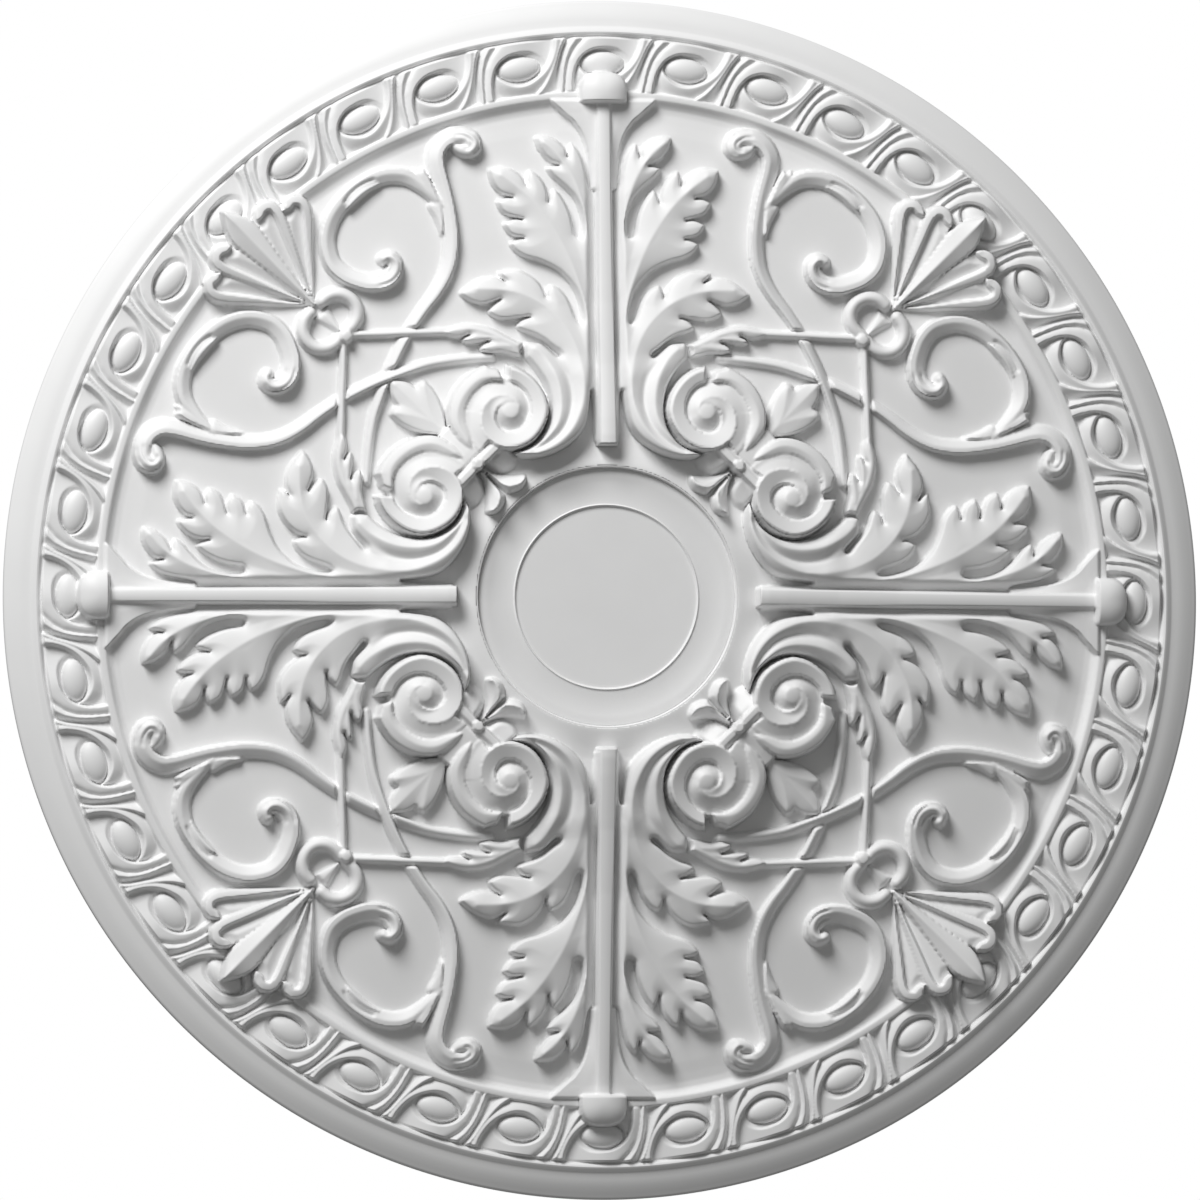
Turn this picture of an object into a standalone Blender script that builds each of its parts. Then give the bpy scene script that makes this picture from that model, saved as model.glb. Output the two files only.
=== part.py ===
# Ceiling rose, 670 mm across: one moulded casting, modelled as it hangs.
# Its flat back is at z = 0 with the origin at its centre, and its ornament faces down.
# Everything is drawn face up as (p, q, h): p to the right, q away, h out of the ceiling.
# A holder empty turned half round the X axis then faces it down.

import math

import bmesh
import bpy
from mathutils import Matrix, Vector
from mathutils.geometry import delaunay_2d_cdt

# Driving dimensions, in metres
MM = 0.001
FILLET_OUTER = 0.2835
FILLET_INNER = 0.2800
FILLET_HEIGHT = 0.0130
EGG_BAND_WIDTH = 0.0335
EGG_BED_HEIGHT = 0.0070
BEAD_RADIUS = FILLET_OUTER + EGG_BAND_WIDTH
BEAD_HEIGHT = 0.0115
BEAD_FOOT = 0.0025
BEAD_INNER_EDGE = 0.0018
BEAD_OUTER_EDGE = 0.0030
BEAD_FALL = 0.0025
FLANGE_WIDTH = 0.0180
RIM_RADIUS = BEAD_RADIUS + FLANGE_WIDTH
RIM_EDGE = 0.0040
FIELD_OUTER = 0.2720
FIELD_OUTER_HEIGHT = 0.0095
FIELD_INNER = 0.0900
FIELD_INNER_HEIGHT = 0.0275
COLLAR_RADIUS = 0.0735
COLLAR_HEIGHT = 0.0340
COLLAR_SLOPE = 0.0110
COLLAR_FALL = 0.0055
RECESS_RADIUS = 0.0722
RECESS_HEIGHT = 0.0295
DISC_RADIUS = 0.0505
DISC_HEIGHT = 0.0280
TURN_STEPS = 48
FIELD_SIDES = 16
PLATE_HEIGHT = 0.0086
WALL_DRAFT = 0.0010
EGG_BED_DRAFT = 0.0003

EGG_COUNT = 40
EGG_INSET = 0.0160
EGG_HALF_LENGTH = 0.0113
EGG_HALF_WIDTH = 0.0070
EGG_RISE = 0.0090

SPINE_INNER = 0.0850
SPINE_END_GAP = 0.0005
BUTTON_RADIUS = 0.0125
BUTTON_RISE = 0.0130
BUTTON_INSET = 0.0035

# How far the edge and the ridges of each ornament stand over the field
SPRAY_RISE = (0.0058, 0.0092)
SPINE_RISE = (0.0070, 0.0115)
FLARE_RISE = (0.0024, 0.0055)
HUSK_RISE = (0.0060, 0.0085)
KNOT_LEAF_RISE = (0.0042, 0.0062)
PETAL_RISE = (0.0036, 0.0066)
VOLUTE_RISE = (0.0120, 0.0120)
WRAP_RISE = (0.0080, 0.0115)
STRAP_RISE = (0.0110, 0.0110)
BUD_RISE = (0.0070, 0.0070)

# Ornament is thicker towards the middle, and the palmettes lift as they spread over the border
SPRAY_GAIN = 0.0060
SPINE_GAIN = 0.0050
VOLUTE_GAIN = 0.0080
PETAL_LIFT = 0.0080
PETAL_LIFT_START = 0.2290
PETAL_LIFT_LENGTH = 0.0750
PALMETTE_FOOT = 162.0
PETAL_FOOT_HALF = 1.5
PETAL_SHOULDER = 0.84
KNOT_REACH = 145.0

ROOT_DEPTH = 0.0030
STEM_SINK = 0.0003
FLAT_ANGLE = 3.0
SLIGHT_BULGE = 0.11
ROUND_BULGE = 0.19
INNER_GAIN_START = 0.165
INNER_GAIN_LENGTH = 0.075


def field_line(radius):
    """Height of the shallow cone that carries the ornament."""
    share = (FIELD_OUTER - radius) / (FIELD_OUTER - FIELD_INNER)
    return FIELD_OUTER_HEIGHT + share * (FIELD_INNER_HEIGHT - FIELD_OUTER_HEIGHT)


def field_height(radius):
    """The cone's height, kept level inside and outside it."""
    return field_line(min(max(radius, FIELD_INNER), FIELD_OUTER))


def clear_scene():
    for item in list(bpy.data.objects):
        bpy.data.objects.remove(item, do_unlink=True)


def new_collection(name):
    group = bpy.data.collections.new(name)
    bpy.context.scene.collection.children.link(group)
    return group


def cast_material():
    """Factory-primed matt white casting."""
    material = bpy.data.materials.new("matt_white_casting")
    material.use_nodes = True
    shader = material.node_tree.nodes["Principled BSDF"]
    shader.inputs["Base Color"].default_value = (0.84, 0.84, 0.83, 1.0)
    shader.inputs["Roughness"].default_value = 0.62
    shader.inputs["Metallic"].default_value = 0.0
    material.diffuse_color = (0.84, 0.84, 0.83, 1.0)
    return material


def arc(start, end, bulge):
    """Points from start up to end, along an arc whose middle lies bulge chords to the left."""
    steps = 1 if abs(bulge) < SLIGHT_BULGE else 2 if abs(bulge) < ROUND_BULGE else 3
    chord = Vector((end[0] - start[0], end[1] - start[1]))
    left = Vector((-chord.y, chord.x))
    points = []
    for step in range(steps):
        share = step / steps
        lift = 4.0 * bulge * share * (1.0 - share)
        spot = Vector(start) + chord * share + left * lift
        points.append((spot.x, spot.y))
    return points


def outline(corners):
    """A closed outline in metres from corners (p, q, bulge of the edge that follows) in millimetres."""
    points = []
    for index, corner in enumerate(corners):
        following = corners[(index + 1) % len(corners)]
        points += arc(corner[:2], following[:2], corner[2])
    return [(p * MM, q * MM) for p, q in points]


def turned_base(holder, group, material):
    """The plate, its rim, egg bed, fillet, field, collar and sunk disc as one turned profile."""
    profile = [
        (0.0, DISC_HEIGHT),
        (DISC_RADIUS, DISC_HEIGHT),
        (DISC_RADIUS, RECESS_HEIGHT),
        (RECESS_RADIUS, RECESS_HEIGHT),
        (RECESS_RADIUS, COLLAR_HEIGHT),
        (COLLAR_RADIUS, COLLAR_HEIGHT),
        (COLLAR_RADIUS + COLLAR_SLOPE, COLLAR_HEIGHT - COLLAR_FALL),
        (COLLAR_RADIUS + COLLAR_SLOPE + WALL_DRAFT, PLATE_HEIGHT),
        (FILLET_INNER - WALL_DRAFT, PLATE_HEIGHT),
        (FILLET_INNER, FILLET_HEIGHT),
        (FILLET_OUTER, FILLET_HEIGHT),
        (FILLET_OUTER + EGG_BED_DRAFT, EGG_BED_HEIGHT),
        (BEAD_RADIUS - BEAD_FOOT, EGG_BED_HEIGHT),
        (BEAD_RADIUS - BEAD_INNER_EDGE, BEAD_HEIGHT),
        (BEAD_RADIUS + BEAD_OUTER_EDGE, BEAD_HEIGHT - BEAD_FALL),
        (RIM_RADIUS, RIM_EDGE),
        (RIM_RADIUS, 0.0),
        (0.0, 0.0),
    ]
    mesh = bpy.data.meshes.new("ceiling_rose")
    mesh.from_pydata([(radius, 0.0, height) for radius, height in profile],
                     [(i, i + 1) for i in range(len(profile) - 1)], [])
    rose = bpy.data.objects.new("ceiling_rose", mesh)
    group.objects.link(rose)
    rose.parent = holder
    mesh.materials.append(material)
    screw = rose.modifiers.new("turn", "SCREW")
    screw.steps = TURN_STEPS
    screw.render_steps = TURN_STEPS
    screw.use_merge_vertices = True
    screw.merge_threshold = 0.00005
    return rose


def field_cone():
    """The shallow cone of the field, standing in the plate between the collar and the fillet."""
    foot_radius = FILLET_INNER - WALL_DRAFT
    foot_height = field_line(foot_radius)
    shape = bmesh.new()
    bmesh.ops.create_cone(shape, cap_ends=True, segments=FIELD_SIDES, radius1=foot_radius,
                          radius2=FIELD_INNER, depth=FIELD_INNER_HEIGHT - foot_height)
    bmesh.ops.translate(shape, vec=(0.0, 0.0, 0.5 * (FIELD_INNER_HEIGHT + foot_height)), verts=shape.verts)
    under = min(shape.faces, key=lambda face: face.calc_center_median().z)
    skirt = bmesh.ops.extrude_face_region(shape, geom=[under])
    bmesh.ops.delete(shape, geom=[under], context="FACES_ONLY")
    for item in skirt["geom"]:
        if isinstance(item, bmesh.types.BMVert):
            item.co.z = ROOT_DEPTH
    return finished(shape, "field_cone")


def finished(shape, name):
    """The mesh of a bmesh, with its faces turned out."""
    bmesh.ops.recalc_face_normals(shape, faces=shape.faces)
    mesh = bpy.data.meshes.new(name)
    shape.to_mesh(mesh)
    shape.free()
    return mesh


class Carvings:
    """Collects the ornaments that are joined to the plate, each with its turned and mirrored copies."""

    def __init__(self, holder, group):
        self.holder = holder
        self.group = group

    def place(self, mesh, name, angle):
        item = bpy.data.objects.new(name, mesh)
        self.group.objects.link(item)
        item.parent = self.holder
        item.rotation_euler = (0.0, 0.0, angle)
        item.hide_render = True
        item.display_type = "WIRE"

    def spread(self, mesh, mirror):
        """Four copies a quarter turn apart, and with mirror four more that face the other way."""
        for quarter in range(4):
            self.place(mesh, f"{mesh.name}_{quarter}", quarter * math.pi / 2)
        if mirror:
            other = mirrored(mesh)
            for quarter in range(4):
                self.place(other, f"{other.name}_{quarter}", quarter * math.pi / 2)


def mirrored(mesh):
    """A copy of a mesh mirrored in p, with its faces still pointing out."""
    shape = bmesh.new()
    shape.from_mesh(mesh)
    bmesh.ops.scale(shape, vec=(-1.0, 1.0, 1.0), verts=shape.verts)
    bmesh.ops.reverse_faces(shape, faces=shape.faces)
    other = bpy.data.meshes.new(mesh.name + "_mirrored")
    shape.to_mesh(other)
    shape.free()
    return other


def raised_leaf(name, edge, ridges, rises, gain=0.0, lift=0.0):
    """A closed block lofted from a flat foot, up to an outline, and on to ridge lines inside it.

    The outline and the ridges are lifted along the cone of the field, so the top is a folded leaf.
    Towards the middle of the rose the block rises further by up to gain, and over the border by lift.
    """
    edge_rise, ridge_rise = rises
    count = len(edge)
    flat = [Vector(point) for point in edge]
    lines = [(i, (i + 1) % count) for i in range(count)]
    for ridge in ridges:
        first = len(flat)
        flat += [Vector((p * MM, q * MM)) for p, q in ridge]
        lines += [(first + i, first + i + 1) for i in range(len(ridge) - 1)]
    spots, _, faces, origins, _, _ = delaunay_2d_cdt(flat, lines, [], 1, 1e-6)
    shape = bmesh.new()
    top = []
    for spot, origin in zip(spots, origins):
        rise = ridge_rise if min(origin, default=0) >= count else edge_rise
        inward = (INNER_GAIN_START - spot.length) / INNER_GAIN_LENGTH
        outward = (spot.length - PETAL_LIFT_START) / PETAL_LIFT_LENGTH
        rise += gain * min(max(inward, 0.0), 1.0) + lift * min(max(outward, 0.0), 1.0)
        top.append(shape.verts.new((spot.x, spot.y, field_height(spot.length) + rise)))
    for face in faces:
        shape.faces.new([top[i] for i in face])
    bmesh.ops.recalc_face_normals(shape, faces=shape.faces)
    foot = bmesh.ops.extrude_face_region(shape, geom=shape.faces[:], use_keep_orig=True)
    for item in foot["geom"]:
        if isinstance(item, bmesh.types.BMVert):
            item.co.z = ROOT_DEPTH
    return finished(shape, name)


def ridge_rope(name, knots):
    """A stem along knots (p, q, half width) in millimetres that lies on the field."""
    return ridge_along(name, [(p, q, field_height(math.hypot(p, q) * MM) - STEM_SINK, half)
                              for p, q, half in knots])


def ridge_along(name, knots):
    """A four-sided rod, one corner up, along knots (p, q, height, half width); heights in metres."""
    curve = bpy.data.curves.new(name, "CURVE")
    curve.dimensions = "3D"
    curve.twist_mode = "Z_UP"
    curve.bevel_depth = MM
    curve.bevel_resolution = 0
    curve.use_fill_caps = True
    spline = curve.splines.new("POLY")
    spline.points.add(len(knots) - 1)
    for point, (p, q, height, half) in zip(spline.points, knots):
        point.co = (p * MM, q * MM, height, 1.0)
        point.radius = half
    return mesh_of(curve, name)


def bed_ridge(name, knots):
    """A ridge along knots (p, q, half width) in millimetres that lies on the egg bed."""
    return ridge_along(name, [(p, q, EGG_BED_HEIGHT - STEM_SINK, half) for p, q, half in knots])


def mesh_of(curve, name):
    """The welded mesh of a curve."""
    guide = bpy.data.objects.new(name + "_guide", curve)
    bpy.context.scene.collection.objects.link(guide)
    bpy.context.view_layer.update()
    mesh = bpy.data.meshes.new_from_object(guide.evaluated_get(bpy.context.evaluated_depsgraph_get()))
    bpy.data.objects.remove(guide, do_unlink=True)
    mesh.name = name
    shape = bmesh.new()
    shape.from_mesh(mesh)
    bmesh.ops.remove_doubles(shape, verts=shape.verts, dist=0.00001)
    bmesh.ops.recalc_face_normals(shape, faces=shape.faces)
    shape.to_mesh(mesh)
    shape.free()
    return mesh


def dome(name, place, size, segments):
    """The upper half of a sphere stretched to size, on a short foot, at place (p, q, foot height)."""
    shape = bmesh.new()
    bmesh.ops.create_uvsphere(shape, u_segments=segments, v_segments=4, radius=1.0)
    every = shape.verts[:] + shape.edges[:] + shape.faces[:]
    cut = bmesh.ops.bisect_plane(shape, geom=every, plane_co=(0.0, 0.0, -0.3), plane_no=(0.0, 0.0, -1.0),
                                 clear_outer=True)
    rim = [item for item in cut["geom_cut"] if isinstance(item, bmesh.types.BMEdge)]
    bmesh.ops.contextual_create(shape, geom=rim)
    bmesh.ops.scale(shape, vec=size, verts=shape.verts)
    bmesh.ops.translate(shape, vec=place, verts=shape.verts)
    return finished(shape, name)


def field_dome(name, p, q, lift, size, segments):
    """A dome on the field at (p, q) in millimetres, its foot lifted by lift."""
    foot = field_height(math.hypot(p, q) * MM) + lift
    return dome(name, (p * MM, q * MM, foot), size, segments)


def egg_band(carvings):
    """Forty eggs with a slanting dart between each two."""
    egg = dome("egg", (0.0, FILLET_OUTER + EGG_INSET, EGG_BED_HEIGHT),
               (EGG_HALF_LENGTH, EGG_HALF_WIDTH, EGG_RISE), 6)
    dart = bed_ridge("dart", [(25.5, 311.0, 1.6), (22.0, 284.5, 2.6)])
    for count in range(EGG_COUNT):
        angle = -count * 2.0 * math.pi / EGG_COUNT
        for mesh in (egg, dart):
            carvings.place(mesh, f"{mesh.name}_{count:02d}", angle)


def spine_sprays(carvings):
    """To each side of every spine: three lobed leaves and the cushion they grow from, as one spray."""
    root = [(-1, 86, 0.0), (-1, 229, 0.0)]
    small = [(8, 229, 0.08), (18.5, 255, 0.0), (20.5, 247, 0.2), (38.5, 258, 0.15), (25.5, 242, 0.0),
             (32.5, 240.3, 0.0), (17, 223.5, -0.08), (12.3, 204, 0.0)]
    middle = [(16.5, 203, 0.1), (28, 229, 0.0), (31.3, 221.2, 0.12), (42, 239.5, 0.0), (43.5, 230.8, 0.2),
              (65, 239.3, 0.17), (51.5, 223.7, 0.0), (60.5, 221.2, 0.1), (46, 211.3, 0.0), (57, 208.8, 0.1),
              (45.5, 200.7, 0.0), (53.5, 197.8, 0.0), (32, 185.5, -0.12), (13, 155, 0.0)]
    lower = [(17, 156, 0.1), (30.3, 175, 0.0), (33, 168, 0.2), (59.5, 182, 0.0), (55.8, 177, 0.0),
             (61, 179.5, 0.13), (81.7, 170, 0.13), (58.7, 166.5, 0.0), (66.3, 159.5, 0.1),
             (42.5, 156.5, 0.0), (50.5, 151, 0.0), (26, 135, 0.0)]
    cushion = [(36, 142, 0.0), (47, 143, 0.0), (47, 133, 0.18), (33, 105, 0.2), (54, 83, 0.0),
               (50, 77, -0.13), (14, 92, -0.1)]
    ridges = [[(7, 200), (15, 232), (31, 252)],
              [(8, 160), (20, 196), (40, 222), (56, 235)],
              [(15, 98), (14, 130), (30, 158), (52, 171), (70, 171)],
              [(26, 96), (25, 118), (38, 136)]]
    spray = raised_leaf("spray", outline(root + small + middle + lower + cushion), ridges,
                        SPRAY_RISE, gain=SPRAY_GAIN)
    carvings.spread(spray, mirror=True)


def spines(carvings):
    """A ridge along each of the four axes, a flared foot at the fillet and a domed button."""
    inner = SPINE_INNER / MM
    outer = (FILLET_INNER - SPINE_END_GAP) / MM
    edge = outline([(-6, inner, 0.0), (6, inner, 0.0), (4.5, outer, 0.0), (-4.5, outer, 0.0)])
    rib = raised_leaf("spine", edge, [[(0, inner + 0.1), (0, 180), (0, outer - 0.1)]], SPINE_RISE,
                      gain=SPINE_GAIN)
    trumpet = [(7.2, 229, 0.12), (29, 279, 0.0), (-29, 279, 0.12), (-7.2, 229, 0.0)]
    flare = raised_leaf("flare", outline(trumpet), [[(0, 250), (0, 272)]], FLARE_RISE)
    button = dome("button", (0.0, FILLET_INNER + BUTTON_INSET, PLATE_HEIGHT),
                  (BUTTON_RADIUS, BUTTON_RADIUS, BUTTON_RISE), 12)
    for mesh in (rib, flare, button):
        carvings.spread(mesh, mirror=False)


def scrolls(carvings):
    """Two long stems in each quarter, hooked at the top, each with a curled branch."""
    stem = ridge_rope("stem", [(80, 258.5, 4.4), (89, 256, 5.4), (94, 247, 5.4), (92, 232, 5.2),
                               (86, 208, 5.0), (88, 184, 4.7), (102, 160, 4.5), (121, 126, 4.3),
                               (131, 94, 4.0), (134, 64, 3.4)])
    bud = field_dome("upper_bud", 73.5, 253.5, 0.0, (0.0094, 0.0092, 0.0120), 6)
    branch = ridge_rope("branch", [(91, 219, 3.0), (103, 232, 4.4), (124, 235, 5.0), (144, 222, 5.0),
                                   (154.5, 201, 5.0), (147, 181.5, 5.0), (131, 175, 5.0), (121, 180, 5.0)])
    tip = field_dome("lower_bud", 118.5, 186.0, 0.0, (0.0076, 0.0078, 0.0100), 6)
    for mesh in (stem, bud, branch, tip):
        carvings.spread(mesh, mirror=True)


def quarter_knots(carvings):
    """On each diagonal: a bead tied by four bands, two C loops, a palmette and a three-lobed leaf."""
    bead = field_dome("knot_bead", KNOT_REACH, KNOT_REACH, 0.0, (0.0045, 0.0045, 0.0085), 6)
    carvings.spread(bead, mirror=False)
    loop = ridge_rope("heart_loop", [(144, 148, 3.6), (139, 154, 4.4), (138.5, 162, 4.8), (143, 168, 4.8),
                                     (150, 169.5, 4.6), (157, 166.5, 4.2)])
    tie = ridge_rope("tie", [(143, 146.5, 3.4), (88, 148, 3.4)])
    for mesh in (loop, tie, swapped(loop), swapped(tie)):
        carvings.spread(mesh, mirror=False)
    pod = [(48, 143, 0.08), (77, 152.3, 0.1), (92, 147, 0.0), (76.3, 146, 0.0),
           (81, 141.5, 0.0), (65.3, 142.2, 0.0), (71, 136.8, 0.0), (47.5, 133.5, 0.0)]
    husk = raised_leaf("husk", outline(pod), [[(54, 140), (70, 147), (84, 147.5)]], HUSK_RISE)
    carvings.spread(husk, mirror=True)
    side = [(94, 89, 0.0), (103, 96.5, 0.0), (121, 101, 0.0), (117.5, 107, 0.0), (121, 121, 0.0)]
    mates = [(q, p, 0.0) for p, q, _ in reversed(side[:-1])]
    leaf = raised_leaf("knot_leaf", outline(side + mates), [[(100, 100), (112, 112)]], KNOT_LEAF_RISE)
    carvings.spread(leaf, mirror=False)
    palmette(carvings)


def swapped(mesh):
    """A copy of a mesh mirrored in the diagonal p = q."""
    other = mirrored(mesh)
    other.transform(Matrix.Rotation(-math.pi / 2, 4, "Z"))
    other.name = mesh.name + "_swapped"
    return other


def palmette(carvings):
    """Five petals that fan from one point on the diagonal over the fillet."""
    foot = Vector((PALMETTE_FOOT, PALMETTE_FOOT))
    for number, (turn, length, half) in enumerate(((0, 74, 9.2), (17.5, 66, 8.6), (34.0, 64, 8.0))):
        sides = (0,) if turn == 0 else (-1, 1)
        for side in sides:
            angle = math.radians(45.0 + side * turn)
            along = Vector((math.cos(angle), math.sin(angle)))
            across = Vector((-along.y, along.x))
            blade = [(0.0, PETAL_FOOT_HALF), (PETAL_SHOULDER, half)]
            right = [foot + along * length * s - across * w for s, w in blade]
            left = [foot + along * length * s + across * w for s, w in reversed(blade)]
            tip = foot + along * length
            edge = [(spot * MM).to_tuple() for spot in right + [tip] + left]
            ridge = [(foot + along * length * s).to_tuple() for s in (0.25, 0.80)]
            petal = raised_leaf(f"petal_{number}_{side + 1}", edge, [ridge], PETAL_RISE, lift=PETAL_LIFT)
            carvings.spread(petal, mirror=False)


def volutes(carvings):
    """Eight spiral volutes round the collar, each with a wrapping leaf, and the knots between pairs."""
    eye = Vector((55.5, 104.5))
    outer = [(180, 5.5), (110, 7.5), (40, 11.5), (-17, 17.2), (-54, 21), (-90, 22.5), (-140, 21.5),
             (-180, 21.5), (-230, 23), (-275, 24.5)]
    inner = [(0, 5.5), (-54, 8.6), (-90, 12), (-140, 12.5), (-180, 12.8), (-230, 13.3), (-275, 17)]
    band = [polar(eye, angle, radius) for angle, radius in outer + inner[::-1]]
    coil = raised_leaf("volute", band, [], VOLUTE_RISE, gain=VOLUTE_GAIN)
    wrap = raised_leaf("volute_wrap", outline([(76, 80, -0.06), (80, 103, -0.14), (58, 120.5, 0.0),
                                               (60, 126, 0.0), (68, 129, 0.12), (89.5, 103, 0.0),
                                               (87, 85, 0.0)]),
                       [[(82, 92), (84, 108), (72, 122)]], WRAP_RISE)
    for mesh in (coil, wrap):
        carvings.spread(mesh, mirror=True)
    strap = raised_leaf("strap", outline([(60, 82, 0.0), (82, 60, 0.0), (87, 65, 0.0), (65, 87, 0.0)]),
                        [], STRAP_RISE)
    bead = field_dome("strap_bead", 73.5, 73.5, 0.0090, (0.0044, 0.0044, 0.0060), 6)
    petal = raised_leaf("boss_bud", outline([(70, 74, 0.0), (46, 68, 0.0), (56, 61, 0.0), (70, 66, 0.0)]),
                        [], BUD_RISE)
    for mesh in (strap, bead, petal, swapped(petal)):
        carvings.spread(mesh, mirror=False)


def polar(centre, degrees, radius):
    angle = math.radians(degrees)
    return ((centre.x + radius * math.cos(angle)) * MM, (centre.y + radius * math.sin(angle)) * MM)


def join_carvings(rose, group):
    union = rose.modifiers.new("carvings", "BOOLEAN")
    union.operation = "UNION"
    union.solver = "EXACT"
    union.operand_type = "COLLECTION"
    union.collection = group
    tidy = rose.modifiers.new("flat_faces", "DECIMATE")
    tidy.decimate_type = "DISSOLVE"
    tidy.angle_limit = math.radians(FLAT_ANGLE)


def main():
    clear_scene()
    parts = new_collection("ceiling_rose_parts")
    carved = new_collection("carvings")
    holder = bpy.data.objects.new("rose_frame", None)
    parts.objects.link(holder)
    holder.rotation_euler = (math.pi, 0.0, 0.0)
    rose = turned_base(holder, parts, cast_material())
    carvings = Carvings(holder, carved)
    carvings.place(field_cone(), "field_cone", 0.0)
    egg_band(carvings)
    spine_sprays(carvings)
    spines(carvings)
    scrolls(carvings)
    quarter_knots(carvings)
    volutes(carvings)
    join_carvings(rose, carved)


main()
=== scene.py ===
import math

import bpy
import numpy as np
from mathutils import Matrix, Vector


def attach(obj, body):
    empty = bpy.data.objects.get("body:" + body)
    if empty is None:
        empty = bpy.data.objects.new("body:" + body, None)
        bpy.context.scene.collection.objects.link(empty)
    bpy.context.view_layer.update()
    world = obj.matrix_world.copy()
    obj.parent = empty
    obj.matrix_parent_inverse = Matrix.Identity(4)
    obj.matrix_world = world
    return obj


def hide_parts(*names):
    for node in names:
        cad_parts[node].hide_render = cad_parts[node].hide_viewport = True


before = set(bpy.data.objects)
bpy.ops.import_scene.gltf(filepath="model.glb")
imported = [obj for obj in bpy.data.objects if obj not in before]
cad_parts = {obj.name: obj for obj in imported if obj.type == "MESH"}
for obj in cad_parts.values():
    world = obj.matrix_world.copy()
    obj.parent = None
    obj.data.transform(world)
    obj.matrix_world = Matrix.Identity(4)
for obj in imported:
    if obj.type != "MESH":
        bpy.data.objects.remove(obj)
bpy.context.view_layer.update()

# The rose is drawn face up in millimetres as (p, q, h): p right, q away, h out of the ceiling.
# It hangs face down, so a drawn point lies at (p, -q, -h) in the room.
mm = 0.001
quarterTurns = (0, 1, 2, 3)
highest = 45.7      # mm: the mould's full depth
fineSteps = 5       # points from one knot of a line to the next
batchSize = 3000    # points measured against a line at a time
wallStart = 0.15    # a wall starts this far up its smooth step, so that its foot is crisp
tiny = 0.01         # mm, keeps a division from failing at 0
perDegree = 0.0175  # radians in a degree


def ease(x):
    # smooth step: 0 below 0, 1 above 1, 3x^2 - 2x^3 between
    x = np.clip(x, 0.0, 1.0)
    return x * x * (3.0 - 2.0 * x)


def fade(x, start, over, low=0.0, high=1.0):
    # from low to high by a smooth step that begins at start and takes this far
    return low + (high - low) * ease((x - start) / over)


def smoothRun(knots):
    # Catmull-Rom: between two knots the cubic through both, its tangents half the chord round each
    k = np.asarray(knots, dtype=float)
    if len(k) < 3:
        return k
    slope = np.empty_like(k)
    slope[1:-1] = 0.5 * (k[2:] - k[:-2])
    slope[0] = 1.5 * (k[1] - k[0]) - 0.5 * slope[1]
    slope[-1] = 1.5 * (k[-1] - k[-2]) - 0.5 * slope[-2]
    t = (np.arange(fineSteps) / fineSteps)[None, :, None]
    run = ((2 * t ** 3 - 3 * t ** 2 + 1) * k[:-1, None] + (t ** 3 - 2 * t ** 2 + t) * slope[:-1, None]
           + (3 * t ** 2 - 2 * t ** 3) * k[1:, None] + (t ** 3 - t ** 2) * slope[1:, None])
    return np.vstack([run.reshape(-1, k.shape[1]), k[-1:]])


def outlineOf(points):
    # a closed outline: smooth runs between the sharp points, which carry a third number
    sharp = [i for i, point in enumerate(points) if len(point) == 3]
    first = sharp[0]
    ring = points[first:] + points[:first + 1]
    cuts = [i for i, point in enumerate(ring) if len(point) == 3]
    runs = [smoothRun([point[:2] for point in ring[a:b + 1]])[:-1] for a, b in zip(cuts, cuts[1:])]
    loop = np.vstack(runs)
    return np.vstack([loop, loop[:1]])


def nearLine(p, q, line):
    # nearest spot on a line of knots: distance, side (left is 1), share of its length, knots' values there
    start = line[:-1]
    step = line[1:] - start
    size = np.maximum((step[:, :2] ** 2).sum(1), 1e-9)
    found = []
    for part in np.array_split(np.arange(len(p)), len(p) // batchSize + 1):
        dp = p[part, None] - start[None, :, 0]
        dq = q[part, None] - start[None, :, 1]
        t = np.clip((dp * step[:, 0] + dq * step[:, 1]) / size, 0.0, 1.0)
        away = (dp - t * step[:, 0]) ** 2 + (dq - t * step[:, 1]) ** 2
        best = away.argmin(1)
        row = np.arange(len(part))
        share = t[row, best]
        side = np.sign(step[best, 0] * dq[row, best] - step[best, 1] * dp[row, best])
        value = start[best] + share[:, None] * step[best]
        found.append(np.column_stack([np.sqrt(away[row, best]), side, (best + share) / len(step), value]))
    every = np.vstack(found)
    return every[:, 0], every[:, 1], every[:, 2], every[:, 3:]


def insideDepth(p, q, loop):
    # distance to a closed outline, positive inside it: inside where a ray meets the outline an odd number
    # of times
    away = nearLine(p, q, loop)[0]
    a = loop[:-1]
    b = loop[1:]
    rise = np.where(b[:, 1] == a[:, 1], 1e-9, b[:, 1] - a[:, 1])
    crossings = np.zeros(len(p))
    for k in range(len(a)):
        spans = (a[k, 1] > q) != (b[k, 1] > q)
        crossings += spans & (p < a[k, 0] + (q - a[k, 1]) * (b[k, 0] - a[k, 0]) / rise[k])
    return np.where(crossings % 2 == 1, away, -away)


def close(p, q, line, margin):
    # which points lie in the line's own box, grown by margin
    low = line[:, :2].min(0) - margin
    high = line[:, :2].max(0) + margin
    return np.flatnonzero((p > low[0]) & (p < high[0]) & (q > low[1]) & (q < high[1]))


def insideOf(p, q, points):
    # the points in a closed outline's box: which they are, their places, and how deep each lies in the
    # outline
    loop = outlineOf(points)
    pick = close(p, q, loop, 0.0)
    x, y = p[pick], q[pick]
    return pick, x, y, insideDepth(x, y, loop)


def raiseInside(height, pick, depth, level):
    # inside an outline the surface is the higher of what is there and this level
    height[pick] = np.maximum(height[pick], np.where(depth > 0, level, 0.0))


def ribDistance(x, y, ribs):
    # distance from the nearest of a leaf's ribs
    return np.min([nearLine(x, y, smoothRun(rib))[0] for rib in ribs], axis=0)


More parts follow.
